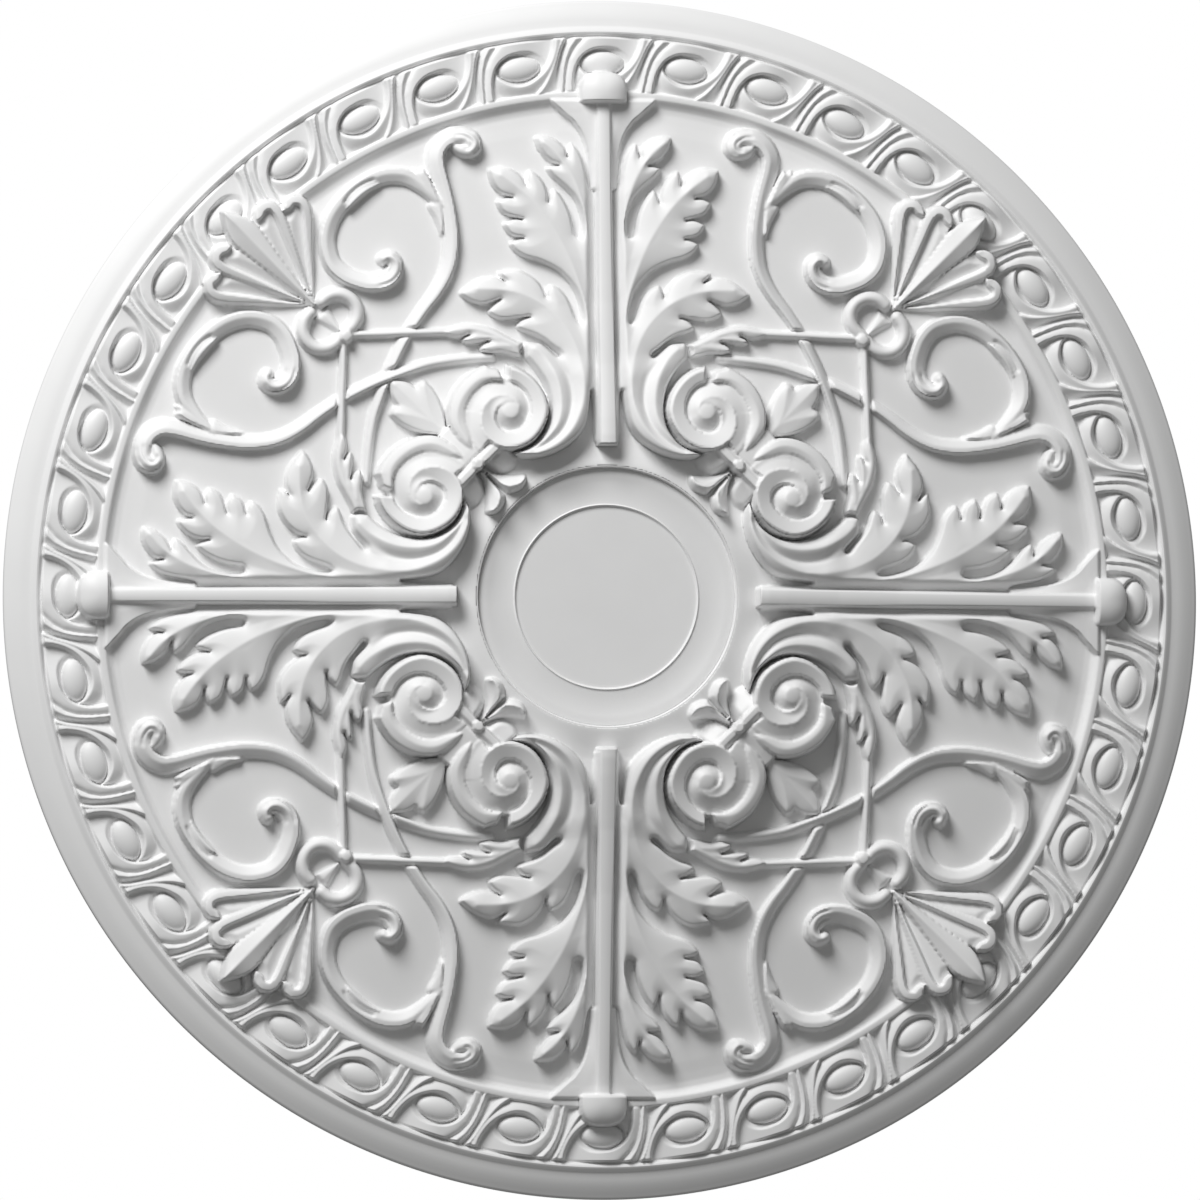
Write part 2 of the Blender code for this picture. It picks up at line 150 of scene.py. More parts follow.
# The turned form, read from the centre out as (radius, height) in mm
turnedForm = {
    "field": [(73.3, 33.9), (74.6, 33.8), (76.5, 33.3), (80.0, 32.2), (85.0, 30.4), (90.0, 28.8),
              (110.0, 25.6), (150.0, 21.6), (200.0, 16.6), (240.0, 12.7), (262.0, 10.5), (268.0, 9.6),
              (273.0, 9.0), (276.5, 9.2), (278.8, 10.6), (280.0, 12.6), (280.6, 13.0), (283.0, 13.0),
              (283.8, 12.7), (284.5, 11.0), (285.2, 8.4), (287.0, 7.4), (300.0, 7.0), (312.0, 7.2),
              (314.0, 7.8), (315.0, 9.6), (316.0, 11.1), (317.2, 11.5)],
    "rim": [(317.2, 11.5), (318.6, 11.0), (319.8, 9.7), (321.0, 9.3), (324.0, 8.8), (328.0, 7.6),
            (331.5, 5.9), (333.6, 4.9), (334.7, 4.4), (335.0, 3.7), (335.0, 0.5), (334.5, 0.0), (300.0, 0.0),
            (0.0, 0.0)],
    "centre": [(0.0, 28.4), (50.0, 28.4), (50.5, 28.4), (50.7, 28.5), (51.3, 29.8), (51.5, 29.9),
               (51.7, 29.8), (52.1, 29.2), (52.6, 29.1), (60.0, 29.2), (66.0, 29.7), (71.3, 31.0),
               (71.6, 30.9), (71.9, 30.6), (72.1, 30.7), (72.5, 33.6), (72.8, 33.9), (73.3, 33.9)],
}
fieldLine = np.array(turnedForm["field"])


def fieldHeight(r):
    # height of the turned form under the carving
    return np.interp(r, fieldLine[:, 0], fieldLine[:, 1])


def coneHeight(r):
    # the field's cone run on straight under the border, for ornament that crosses the border
    return np.interp(r, [90.0, 272.0, 320.0], [27.5, 9.5, 8.6])


def innerGain(r):
    # share of its gain by which ornament thickens: 0 at r = 165 mm, rising evenly to 1 at 90
    return np.clip((165.0 - r) / 75.0, 0.0, 1.0)


# Leaves, each an outline with ribs; a third number marks a sharp point. Draft is the width of a leaf's wall,
# edge and crest are its heights on top of the wall and at a rib, and gain is added towards the middle.
sprayForm = {
    "draft": 1.15, "edge": 6.0, "crest": 9.2, "gain": 6.26,
    # fades are (start, over, from, to): where the cushion starts along p and ends along q; its ridges and
    # furrow are (height, width)
    "cushionSide": (6.0, 6.0), "cushionEnd": (122.0, 14.0, 1.0, 0.0),
    "ridge": (1.8, 4.5), "furrow": (1.5, 2.2),
    # beside the spine the root falls away, by a share that grows along q
    "rootSide": (5.5, 6.0, 1.0, 0.0), "rootFall": (190.0, 34.0, 0.72, 0.90),
    "rootNear": (118.0, 24.0, 0.6, 1.0),
    "softEdge": 2.0, "gainEdge": 0.8,
    "root": [(-3, 86, 1), (-3, 229, 1)],
    "small": [(7.3, 228.5, 1), (9, 232), (10.7, 241), (13.5, 249.5), (18.5, 255, 1), (19.6, 250.5),
              (20.5, 246.8, 1), (21, 251), (25, 255.5), (30, 258), (35, 258.7), (38.5, 257.8, 1), (37, 252),
              (33.5, 247), (30, 244), (25.5, 242, 1), (29.5, 241.6), (32.5, 240.3, 1), (29.5, 236),
              (25.5, 232.5), (21, 228.5), (16.5, 223), (13.5, 215.5), (12.2, 208), (13.0, 202.6),
              (14.8, 201.5, 1)],
    "middle": [(16.6, 202.6), (17.2, 205), (18.5, 212.5), (21, 219.5), (24.5, 225.5), (28.2, 229, 1),
               (30.2, 225), (31.3, 221.2, 1), (31.5, 226), (33.5, 232), (37.5, 237), (42, 239.5, 1),
               (43.2, 235), (43.5, 230.8, 1), (45.5, 235), (49.5, 238.7), (54.5, 240.7), (59.5, 240.9),
               (65, 239.5, 1), (64, 234), (61.5, 229), (57.5, 225.5), (51.5, 223.7, 1), (56, 223.5),
               (60.5, 221.3, 1), (58.7, 217), (55, 213.8), (46, 211.3, 1), (51.5, 211.4), (57, 208.8, 1),
               (55.2, 205.2), (52, 202.2), (45.5, 200.7, 1), (49.5, 200), (53.5, 197.8, 1), (50.5, 193.5),
               (45, 190.2), (38, 188.2), (32, 185.8), (26, 182.3), (21, 177.3), (17.3, 172), (15, 166),
               (13.5, 160), (13.3, 155), (14.3, 153.3, 1)],
    "lower": [(15.6, 154.5), (17, 157), (19, 162.5), (21.5, 168), (25.5, 172.7), (30.3, 175, 1),
              (32.5, 171.5), (33, 167.8, 1), (34.3, 171.5), (37, 176), (41.5, 180), (47.5, 182.9),
              (53.5, 183), (59.7, 181.7, 1), (58.5, 179), (55.8, 176.5, 1), (61, 179), (66, 179), (71, 177.5),
              (76, 174.5), (81.7, 169.5, 1), (78.5, 166.5), (73, 164), (67, 163.5), (58.7, 166.2, 1),
              (62.5, 163.3), (66.3, 159.2, 1), (63, 156.5), (57, 155), (42.5, 156.4, 1), (47, 154.7),
              (50.5, 150.7, 1), (47, 148.4), (41, 146.5), (35.5, 143.5), (30.5, 139.5), (26.4, 136.4),
              (26, 134.6, 1)],
    "cushion": [(28, 134.8), (32, 138.5), (36, 141.6), (40, 142.3), (44.5, 142.6, 1), (46, 139),
                (45.5, 133.5, 1), (39.5, 126.5), (34.5, 117.5), (32.4, 106.5), (33.6, 96), (38.5, 87.5),
                (45.5, 82.6), (54, 80.2, 1), (48, 77), (39, 77), (29, 80), (20, 85.5), (14, 92), (10.7, 100),
                (8.6, 115, 1), (7.5, 108), (7, 86, 1)],
    "ribs": [[(7, 172), (8.6, 195), (11.5, 215), (17, 233), (25, 246), (34, 254.5)],
             [(7, 128), (9.6, 150), (13.5, 170), (21, 191), (31, 209), (43, 224), (58, 236)],
             [(13.5, 112), (13.6, 124), (17, 139), (24, 152), (36, 163.5), (52, 170.5), (72, 171.8)],
             [(13.5, 112), (15.4, 104), (20, 94.5), (27, 86.8), (37, 81.2), (47, 79)],
             [(40, 138.5), (33, 131), (28, 120), (26.4, 108), (28.2, 97.5), (33.6, 89.4), (41, 83.6),
              (50, 81)]],
    "groove": [(36, 138), (28.5, 131), (22.5, 122), (20.3, 110), (21.8, 100), (26, 92), (33, 85.6), (42, 81)],
}


leafSlope = 0.8     # power of the slope from a leaf's edge up to its rib
lobeSwell = 0.7     # mm that a lobe swells by, most of it within lobeReach mm of its edge
lobeReach = 1.6


def leafRise(depth, ribAway, form):
    # a steep wall to the edge, a swell of 1 - exp(-depth / reach), and a slope up to the rib of
    # (depth / (depth + distance from the rib)) ^ slope
    wall = ease(wallStart + (1.0 - wallStart) * depth / form["draft"])
    inward = np.clip(depth, 0.0, None)
    crown = (inward / (inward + ribAway + tiny)) ** form.get("slope", leafSlope)
    lobe = lobeSwell * (1.0 - np.exp(-inward / lobeReach))
    return wall * (form["edge"] - lobeSwell + lobe + crown * (form["crest"] - form["edge"]))


def sprayOutline():
    # the three leaves and their cushion as one closed outline
    form = sprayForm
    return form["root"] + form["small"] + form["middle"] + form["lower"] + form["cushion"]


def sprays(p, q, height):
    # three lobed leaves and the cushion they grow from, as one outline beside a spine: a leaf's rise, then
    # on the cushion a ridge of exp(-(distance / width)^2) along each rib and a furrow of the same form
    # between them
    form = sprayForm
    pick, x, y, depth = insideOf(p, q, sprayOutline())
    ribAway = ribDistance(x, y, form["ribs"])
    r = np.hypot(x, y)
    rise = leafRise(depth, ribAway, form)
    furrowAway = nearLine(x, y, smoothRun(form["groove"]))[0]
    onCushion = fade(y, *form["cushionEnd"]) * fade(x, *form["cushionSide"])
    ridge = form["ridge"][0] * np.exp(-(ribAway / form["ridge"][1]) ** 2)
    furrow = form["furrow"][0] * np.exp(-(furrowAway / form["furrow"][1]) ** 2)
    rise += onCushion * ease(depth / form["softEdge"]) * (ridge - furrow)
    rise += form["gain"] * innerGain(r) * ease(depth / (form["draft"] + form["gainEdge"]))
    # beside the spine the root falls away to a narrow channel, and at its top into the trumpet
    rise *= 1.0 - fade(y, *form["rootFall"]) * fade(x, *form["rootSide"]) * fade(y, *form["rootNear"])
    raiseInside(height, pick, depth, fieldHeight(r) + rise)


def leaf(p, q, height, form):
    # one lobed leaf on the field: a leaf's rise, and the form's gain towards the middle
    pick, x, y, depth = insideOf(p, q, form["outline"])
    r = np.hypot(x, y)
    rise = leafRise(depth, ribDistance(x, y, form["ribs"]), form)
    rise += form.get("gain", 0.0) * innerGain(r) * ease(depth / form["draft"])
    raiseInside(height, pick, depth, fieldHeight(r) + rise)


outside = -9.0      # mm under the field, so that the field shows where a stem ends
stemForm = {
    "reach": 8.0,                   # mm to each side of its line, more than any stem's half width
    "draft": 1.05, "start": 0.12,   # width of a wall in mm, and how far up its smooth step it starts
    "crown": 0.45, "bevelled": 0.62,    # share of the rise that a top carries, and a bevelled one
    "flat": 0.15,                   # share of the half width by which a bevel starts past the middle
    "bevelEnds": (0.06, 0.12),      # share of the length where a bevel starts, and over which it grows
    "dip": 0.5, "dipOver": 1.5,     # share of the rise left under another stem, and mm over which it dips
}


def tube(p, q, height, form, above=()):
    # a stem along knots (p, q, half width, rise): its drafted walls carry 1 - crown of the rise, and its
    # top the rest, as a parabola across, or on a bevelled stem as a slope from one side to the other (bevel
    # 1 or -1 says which); under each stem above, it dips to half
    own = stemForm
    line = smoothRun(form["knots"])
    pick = close(p, q, line, own["reach"])
    x, y = p[pick], q[pick]
    away, side, share, value = nearLine(x, y, line)
    half, rise = value[:, 2], value[:, 3]
    across = np.clip(away / half, 0.0, 1.0)
    top = 1.0 - across ** 2
    crown = own["crown"]
    if "bevel" in form:
        crown = own["bevelled"]
        slope = 1.0 - np.clip((form["bevel"] * side * across + own["flat"]) / (1.0 + own["flat"]), 0.0, 1.0)
        top += (slope - top) * fade(np.minimum(share, 1.0 - share), *own["bevelEnds"])
    up = rise * ease(own["start"] + (half - away) / own["draft"]) * (1.0 - crown + crown * top)
    for over in above:
        overAway, _, _, overValue = nearLine(x, y, smoothRun(over))
        up *= fade(overAway - overValue[:, 2], 0.0, own["dipOver"], own["dip"], 1.0)
    up = np.where(away < half, up, outside)
    height[pick] = np.maximum(height[pick], fieldHeight(np.hypot(x, y)) + up)


def dome(p, q, height, form):
    # a button: e = (|x|^power + |y|^power)^(1 / power) in half widths, a drafted wall for one share of the
    # rise and a cap of sqrt(1 - e^2) for the rest
    x = (p - form["at"][0]) / form["half"][0]
    y = (q - form["at"][1]) / form["half"][1]
    power = form.get("power", 2.0)
    e = (np.abs(x) ** power + np.abs(y) ** power) ** (1.0 / power)
    wall = ease((1.0 - e) * min(form["half"]) / 1.1)
    cap = np.sqrt(np.clip(1.0 - e * e, 0.0, 1.0))
    up = form["rise"] * (form["wall"] * wall + (1.0 - form["wall"]) * cap)
    foot = coneHeight(np.hypot(*form["at"]))
    np.maximum(height, np.where(e < 1.0, foot + up, 0.0), out=height)


def groove(height, p, q, line, width, deep):
    # a line cut in: deep * exp(-(distance / width)^2), fading over the last eighth at each end
    line = smoothRun(line)
    pick = close(p, q, line, 4.0 * width)
    away, _, share, _ = nearLine(p[pick], q[pick], line)
    ends = ease(np.minimum(share, 1.0 - share) / 0.12)
    height[pick] -= deep * ends * np.exp(-(away / width) ** 2)


spineForm = {
    "knots": [(0, 84.6, 5.9, 15.5), (0, 100, 5.8, 14.5), (0, 130, 5.4, 11.5), (0, 165, 5.1, 9.8),
              (0, 210, 4.8, 9.4), (0, 250, 4.5, 9.3), (0, 280, 4.3, 9.0)],
    "wallShare": 0.9, "wallStart": 0.1, "draft": 1.2,
    # the trumpet: its edge's rise as a fade along q, its crest's, the slope between, and its outline
    "edge": (236.0, 38.0, 2.8, 5.6), "crest": 6.8, "crestHalf": 3.5, "slope": 1.7,
    "flare": [(0, 279.5, 1), (29.5, 279.5, 1), (29, 277), (22.5, 271), (16.5, 265.5), (12, 258), (9.5, 249),
              (8, 238), (7.2, 228.5, 1), (0, 226, 1)],
    "button": {"at": (0.0, 281.8), "half": (13.7, 13.2), "rise": 15.2, "wall": 0.42, "power": 2.6},
    "buttonFront": (276.4, 1.1),
}


def spines(p, q, height):
    # a ridge from the collar to the border, nine tenths of it wall and one tenth a parabola across; its
    # trumpet, an edge that rises outwards and a slope to the ridge as on a leaf; and its button, cut
    # straight at the border
    form = spineForm
    pick, x, y, depth = insideOf(p, q, form["flare"])
    inward = np.clip(depth, 0, None)
    share = inward / (inward + np.clip(x - form["crestHalf"], 0, None) + tiny)
    edge = fade(y, *form["edge"])
    rise = edge * ease(wallStart + depth) + (form["crest"] - edge) * share ** form["slope"]
    raiseInside(height, pick, depth, coneHeight(np.hypot(x, y)) + rise)
    line = np.array(form["knots"], dtype=float)
    pick = close(p, q, line, stemForm["reach"])
    x, y = p[pick], q[pick]
    half, rise = nearLine(x, y, line)[3][:, 2:].T
    across = np.clip(np.abs(x) / half, 0.0, 1.0)
    wall = ease(form["wallStart"] + (half - np.abs(x)) / form["draft"])
    up = rise * (form["wallShare"] * wall + (1.0 - form["wallShare"]) * (1.0 - across ** 2))
    up = np.where((y > line[0, 1]) & (y < line[-1, 1]) & (np.abs(x) < half), up, outside)
    height[pick] = np.maximum(height[pick], coneHeight(np.hypot(x, y)) + up)
    button = np.zeros_like(height)
    dome(p, q, button, form["button"])
    np.maximum(height, button * fade(q, *form["buttonFront"]), out=height)


# Stems as knots (p, q, half width, rise), the two small leaves where a stem branches, and lines cut in
scrollForm = {
    "hook": {"knots": [(84.4, 253.4, 2.4, 6.4), (80.6, 250.8, 3.9, 8.0), (75.8, 249.9, 4.6, 9.2),
                       (73.2, 252.6, 5.3, 9.7), (74.4, 256.2, 5.6, 9.6)]},
    "steep": {"knots": [(73.2, 252.4, 5.4, 9.8), (74.4, 256.2, 5.6, 9.6), (79.2, 258.4, 5.5, 9.0),
                        (85.6, 257.9, 5.4, 8.2), (91.2, 253.8, 5.3, 7.6), (94.3, 247, 5.2, 7.2),
                        (93.4, 239, 5.0, 6.9), (90.6, 229, 4.8, 6.5), (88.0, 218, 4.7, 6.3),
                        (86.0, 203, 4.6, 6.2), (86.5, 190, 4.4, 6.0), (89.3, 180, 4.1, 5.8),
                        (94.8, 170, 3.8, 5.6), (102.3, 160, 3.5, 5.3), (110.5, 147.5, 3.3, 5.4),
                        (117.5, 134, 3.2, 5.8), (122.5, 122.5, 3.1, 6.0), (127, 110, 3.0, 5.6),
                        (130.3, 98, 2.9, 5.0), (132.8, 80, 2.8, 4.6), (134, 64, 2.6, 4.2)], "bevel": 1},
    "branch": {"knots": [(91, 219, 3.2, 5.0), (96, 224.5, 3.8, 5.6), (101, 229, 4.2, 6.0),
                         (109, 234, 4.7, 6.2), (117, 235.7, 5.0, 6.3), (126, 234.3, 5.0, 6.3),
                         (135, 229.5, 5.0, 6.3), (143, 223, 5.0, 6.3), (150, 214.5, 5.0, 6.3),
                         (154, 205, 5.0, 6.3), (154.7, 196, 5.0, 6.4), (152, 186.5, 5.1, 6.6),
                         (146, 180.5, 5.2, 6.8), (139, 177.3, 5.3, 7.0), (131, 175.5, 5.4, 7.4),
                         (123.6, 176.6, 5.4, 8.0), (118.8, 180.6, 5.3, 8.6), (117.4, 186, 4.9, 9.0),
                         (119.8, 189.4, 4.4, 9.0), (123.8, 188.6, 3.6, 8.2)], "bevel": -1},
    "bract": {"outline": [(91.6, 221, 1), (94.4, 228), (97.6, 235.0), (101.4, 240.8, 1), (103.2, 238.8),
                          (106.2, 240.4, 1), (106.6, 235.6), (103.4, 229.6), (99, 224.8), (94.6, 220.6)],
              "ribs": [[(92.6, 223), (96.6, 231), (102.2, 238.6)]], "draft": 1.1, "edge": 4.6, "crest": 7.2},
    "barb": {"outline": [(90.6, 222.6, 1), (94, 222.4), (98.2, 220.6, 1), (98.6, 217.6), (95.2, 211.6),
                         (92.6, 204.6), (90.8, 197, 1), (89.6, 206), (89.4, 214)],
             "ribs": [[(90.6, 204), (91.0, 213), (92.6, 221)]], "draft": 1.2, "edge": 3.2, "crest": 5.4},
    "spur": {"knots": [(126, 230.8, 1.4, 4.6), (133, 227.6, 2.3, 5.8), (138.4, 223.4, 2.5, 6.2),
                       (142.2, 218.9, 1.7, 5.8), (144.2, 215.4, 0.3, 4.4)]},
    "spurGroove": [(127, 234.0), (135.0, 230.6), (141.8, 225.4), (146.4, 218.6)],
    "curlLines": [[(84.6, 261.6), (76.5, 261.0), (70.6, 256.0), (70.8, 250.6), (75.0, 247.4)],
                  [(85.6, 258.0), (79.0, 258.0), (74.4, 254.8), (75.2, 251.2), (79.4, 250.2)],
                  [(128.6, 173.2), (119.6, 175.8), (114.8, 181.8), (114.8, 187.4), (119.4, 191.4)],
                  [(128.2, 177.6), (122.2, 179.4), (119.2, 183.6), (119.8, 187.0), (123.4, 188.0)]],
}

# What is tied together on the diagonal, from the palmette's foot in to the volutes
knotForm = {
    "loop": {"knots": [(144.5, 148.2, 3.4, 6.4), (140.8, 151.4, 3.8, 6.8), (138.6, 156, 4.0, 7.0),
                       (138.8, 161.5, 4.0, 7.2), (142, 166.2, 4.0, 7.4), (147.5, 168.8, 4.1, 7.6),
                       (153.5, 168.2, 4.1, 7.6), (158.2, 164.8, 3.8, 7.2)]},
    "wedge": {"outline": [(145, 145, 1), (154.6, 162.6, 1), (162.6, 154.6, 1)],
              "ribs": [[(146, 146), (158, 158)]], "draft": 1.2, "edge": 2.2, "crest": 3.4},
    "tie": {"knots": [(142.5, 146.2, 2.5, 4.9), (128, 146.6, 2.4, 4.9), (108, 147.4, 2.4, 4.9),
                      (86, 148.1, 2.4, 5.0)]},
    "bead": {"at": (145.0, 145.0), "half": (4.2, 4.2), "rise": 8.6, "wall": 0.75},
    "husk": {"outline": [(45.5, 142.4, 1), (49, 142.8), (56.5, 146.8), (64, 150.5), (72.5, 152.4),
                         (80, 152.4), (87, 150.3), (91.7, 147, 1), (86, 144.6), (81, 144.5), (76.3, 146.3, 1),
                         (79.4, 144.6), (81, 141.8, 1), (74, 141.5), (65.3, 142.7, 1), (69.3, 140.6),
                         (71, 137.3, 1), (65, 135.8), (58, 136.2), (51, 134.5), (46.6, 133.8, 1),
                         (47.6, 138)],
             "ribs": [[(46, 139), (55, 142.5), (64, 146.8), (74, 149.4), (88, 148.2)],
                      [(60, 144), (72, 144.6), (79, 142.8)], [(54, 140), (62, 139.6), (69, 138)]],
             "draft": 1.15, "edge": 5.4, "crest": 7.4, "gain": 5.0},
    "threeLobed": {"outline": [(83, 83, 1), (84.5, 90), (89.5, 95, 1), (91, 104), (95, 113.5), (101, 121, 1),
                               (104.4, 120), (106.5, 117.3, 1), (112.5, 120.4), (121, 121, 1), (120.4, 112.5),
                               (117.3, 106.5, 1), (120, 104.4), (121, 101, 1), (113.5, 95), (104, 91),
                               (95, 89.5, 1), (90, 84.5)],
                   "ribs": [[(90, 90), (98, 100), (102, 117)], [(90, 90), (100, 98), (117, 102)],
                            [(90, 90), (104, 104), (118, 118)]], "draft": 1.15, "edge": 4.6, "crest": 6.4,
                   "gain": 6.0},
}

palmetteForm = {
    # u is along the diagonal and v across it; the side petals are drawn at this length from the foot
    "foot": 230.1, "draft": 1.1, "length": 65.6, "within": (220.0, 310.0, 66.0),
    "centre": [(229, -1.4, 1), (246, -3.8), (263, -5.9), (275, -7.8), (283, -8.8), (289, -8.2), (296, -5.4),
               (303.8, 0, 1), (296, 5.4), (289, 8.2), (283, 8.8), (275, 7.8), (263, 5.9), (246, 3.8),
               (229, 1.4, 1)],
    # a side petal: its outer edge, round its end to the inner side, and then back down the inner edge
    "outer": [(0, -1.2), (14, -3.4), (28, -5.4), (42, -7.4), (52, -8.6), (58.5, -8.2), (63.4, -5.6),
              (65.6, -0.6), (64.9, 3.4), (62.6, 6.4)],
    "inner": [(62.6, 6.4, 1), (58.0, 8.2), (51.0, 8.2), (42, 7.0), (28, 4.8), (14, 2.8), (0, 1.0, 1)],
    # each pair of side petals: degrees from the diagonal, real length, and how much lower it lies
    "turns": ((34.6, 62.6, 0.6), (17.9, 64.6, 0.0)),
    # a side petal's band: its width from the foot out, its crown, and how far under the fan's top it lies
    "band": (0.0, 58.0, 1.7, 5.4), "bandCrown": 1.5, "bandUnder": 2.2,
    # its hollow: how deep, over what width it falls, and how it rises again from there to the inner edge
    "hollow": 3.6, "hollowOver": 0.9, "hollowRise": 0.42,
    # the middle petal: its ridge, how far under the fan's top its edge lies, and its tip's fade downwards;
    # and how far every petal's wall goes down
    "ridge": 3.4, "middleUnder": 1.6, "tip": (294.0, 12.0, 0.0, 1.2), "wall": 6.0,
}


def palmetteTop(r):
    # the fan lifts as it spreads, over the border's fillet and eggs: straight between four heights
    return np.interp(r, [226.0, 240.0, 285.0, 304.0], [16.6, 17.8, 21.8, 23.4])


def petalFrame(u, v, sign, turn, length):
    # a petal's own axes by a turn about the foot: along it, scaled to the drawn length, and across it
    # towards the middle petal
    angle = math.radians(sign * turn)
    away = u - palmetteForm["foot"]
    along = (away * math.cos(angle) + v * math.sin(angle)) * palmetteForm["length"] / length
    return along, (away * math.sin(angle) - v * math.cos(angle)) * sign


def petalOutline():
    # a side petal's outline: along its outer edge and back down its inner edge
    outer = palmetteForm["outer"]
    return outlineOf([outer[0] + (1,)] + outer[1:-1] + palmetteForm["inner"])


def overlap(level, lift, depth, draft):
    # a petal covers what is under it, but in the width of its wall the higher of the two shows
    return np.where(depth > draft, lift, np.where(depth > 0.0, np.maximum(lift, level), level))


def palmette(p, q, height):
    # five petals from one point on the diagonal: two to each side that are a band with a top of half a
    # sine, hooked over at its end round a hollow, and over them a pointed one that slopes to a ridge like a
    # leaf's
    form = palmetteForm
    half = math.sqrt(0.5)
    along = (p + q) * half
    across = (q - p) * half
    start, end, side = form["within"]
    near = np.flatnonzero((along > start) & (along < end) & (np.abs(across) < side))
    u, v = along[near], across[near]
    top = palmetteTop(np.hypot(u, v))
    level = height[near]
    outerEdge = smoothRun(form["outer"])
    petal = petalOutline()
    for turn, length, lower in form["turns"]:
        for sign in (-1.0, 1.0):
            a, c = petalFrame(u, v, sign, turn, length)
            depth = insideDepth(a, c, petal)
            bandAway = nearLine(a, c, outerEdge)[0]
            thick = fade(a, *form["band"])
            crown = form["bandCrown"] * np.sin(0.5 * math.pi * np.clip(bandAway / thick, 0.0, 1.6))
            past = bandAway - thick
            hollow = form["hollow"] * ease(past / form["hollowOver"])
            hollow -= form["hollowRise"] * np.clip(past - form["hollowOver"], 0.0, 6.0)
            wall = form["wall"] * (1.0 - ease(wallStart + depth / form["draft"]))
            lift = top - form["bandUnder"] + crown - hollow - lower - wall
            level = overlap(level, lift, depth, form["draft"])
    depth = insideDepth(u, v, outlineOf(form["centre"]))
    wall = form["wall"] * (1.0 - ease(wallStart + depth / form["draft"]))
    inward = np.clip(depth, 0.0, None)
    crown = form["ridge"] * inward / (inward + np.abs(v) + tiny)
    lift = top - form["middleUnder"] + crown - fade(u, *form["tip"]) - wall
    height[near] = overlap(level, lift, depth, form["draft"])


voluteForm = {
    "eye": (55.0, 103.2), "eyeRadius": 4.9, "eyeRise": 0.5, "face": 12.2, "gain": 7.2, "dish": 3.4,
    "channel": 5.8,
    # how deep the channel is at its two ends, its fade by angle, and the ledge along the band's outer edge
    "innerEnd": 3.0, "outerEnd": 2.4, "shallower": (262.0, 60.0, 0.0, 3.2),
    "ledge": 1.5, "ledgeFrom": (70.0, 50.0),
    "draft": 0.9, "endDraft": 1.2, "floorUnder": 9.0, "innerUnder": 7.0,
    # angle clockwise from +p in degrees, radius in mm: the raised band's outer and inner edge
    "outer": [(-205, 4.9), (-180, 5.0), (-127, 7.2), (-77, 9.6), (-36, 13.1), (-5, 16.2), (15, 17.9),
              (36, 20.0), (61, 21.6), (90, 22.0), (116, 21.8), (150, 21.2), (180, 22.0), (200, 22.2),
              (223, 22.6), (246, 24.0), (258, 25.0), (272, 26.0)],
    "inner": [(-90, 3.4), (-51, 4.4), (-12, 6.5), (15, 8.0), (49, 10.2), (83, 11.7), (140, 10.6), (183, 11.3),
              (215, 12.6), (248, 15.1), (277, 17.0), (304, 18.7), (335, 20.8), (365, 23.3), (391, 25.5),
              (414, 27)],
    "wrap": {"outline": [(57.6, 119.6, 1), (58.8, 123.4), (60.4, 126.8, 1), (65.4, 128.2), (68, 129.4, 1),
                         (75, 125.8), (82, 120.2), (87, 112.5), (89.7, 104), (89.5, 95), (85, 87.5),
                         (80, 82.5), (75, 78.5, 1), (77, 90.6), (79.4, 99.4), (77.4, 107.6), (72.8, 114.2),
                         (66, 118.8)],
             "ribs": [[(61, 122), (71, 121), (79, 114), (83.8, 105), (84.2, 96), (79, 86)]], "draft": 1.3,
             "edge": 10.8, "crest": 12.6, "gain": 5.6},
    "reach": 32.0, "strapRise": 16.1, "strapDraft": 0.7,
    # between the strap and the three-lobed leaf, and beside the bud: slopes, with their rise at distances
    # from the middle along the diagonal
    "saddle": {"outline": [(62.6, 84.6, 1), (84.6, 62.6, 1), (93, 79), (95, 89.5, 1), (89.5, 95, 1),
                           (79, 93)], "at": [104.0, 112.0, 122.0, 134.0], "rise": [14.8, 14.4, 12.8, 10.2],
               "draft": 1.2},
    "strap": [(59.8, 81.8, 1), (81.8, 59.8, 1), (85.8, 63.8, 1), (63.8, 85.8, 1)],
    "strapLines": [[(60.6, 80.4), (70.5, 70.5), (80.4, 60.6)], [(65.4, 86.4), (75.9, 75.9), (86.4, 65.4)]],
    "bead": {"at": (73.0, 73.0), "half": (4.1, 4.1), "rise": 17.9, "wall": 0.95},
    "bud": {"outline": [(71, 72.5, 1), (65, 69.6), (57, 67.9), (46.2, 68.4, 1), (45.2, 64.6), (47.6, 60),
                        (52, 57.6), (56.2, 57, 1), (58.6, 59.8), (61.8, 62.4, 1), (66, 66), (69, 68)],
            "ribs": [[(46.6, 66.4), (48.8, 63.2), (52.5, 61.6), (57, 61.2), (61.6, 63), (68, 69)]],
            "draft": 1.2, "edge": 3.6, "crest": 10.0, "slope": 1.0},
    "apron": {"outline": [(77, 78, 1), (64, 69.0), (57, 67.6), (50.0, 71.0), (48, 78, 1), (56, 85),
                          (66, 87, 1)], "at": [86.0, 92.0, 98.0, 103.0], "rise": [3.0, 7.0, 11.6, 14.4],
              "draft": 5.5},
}


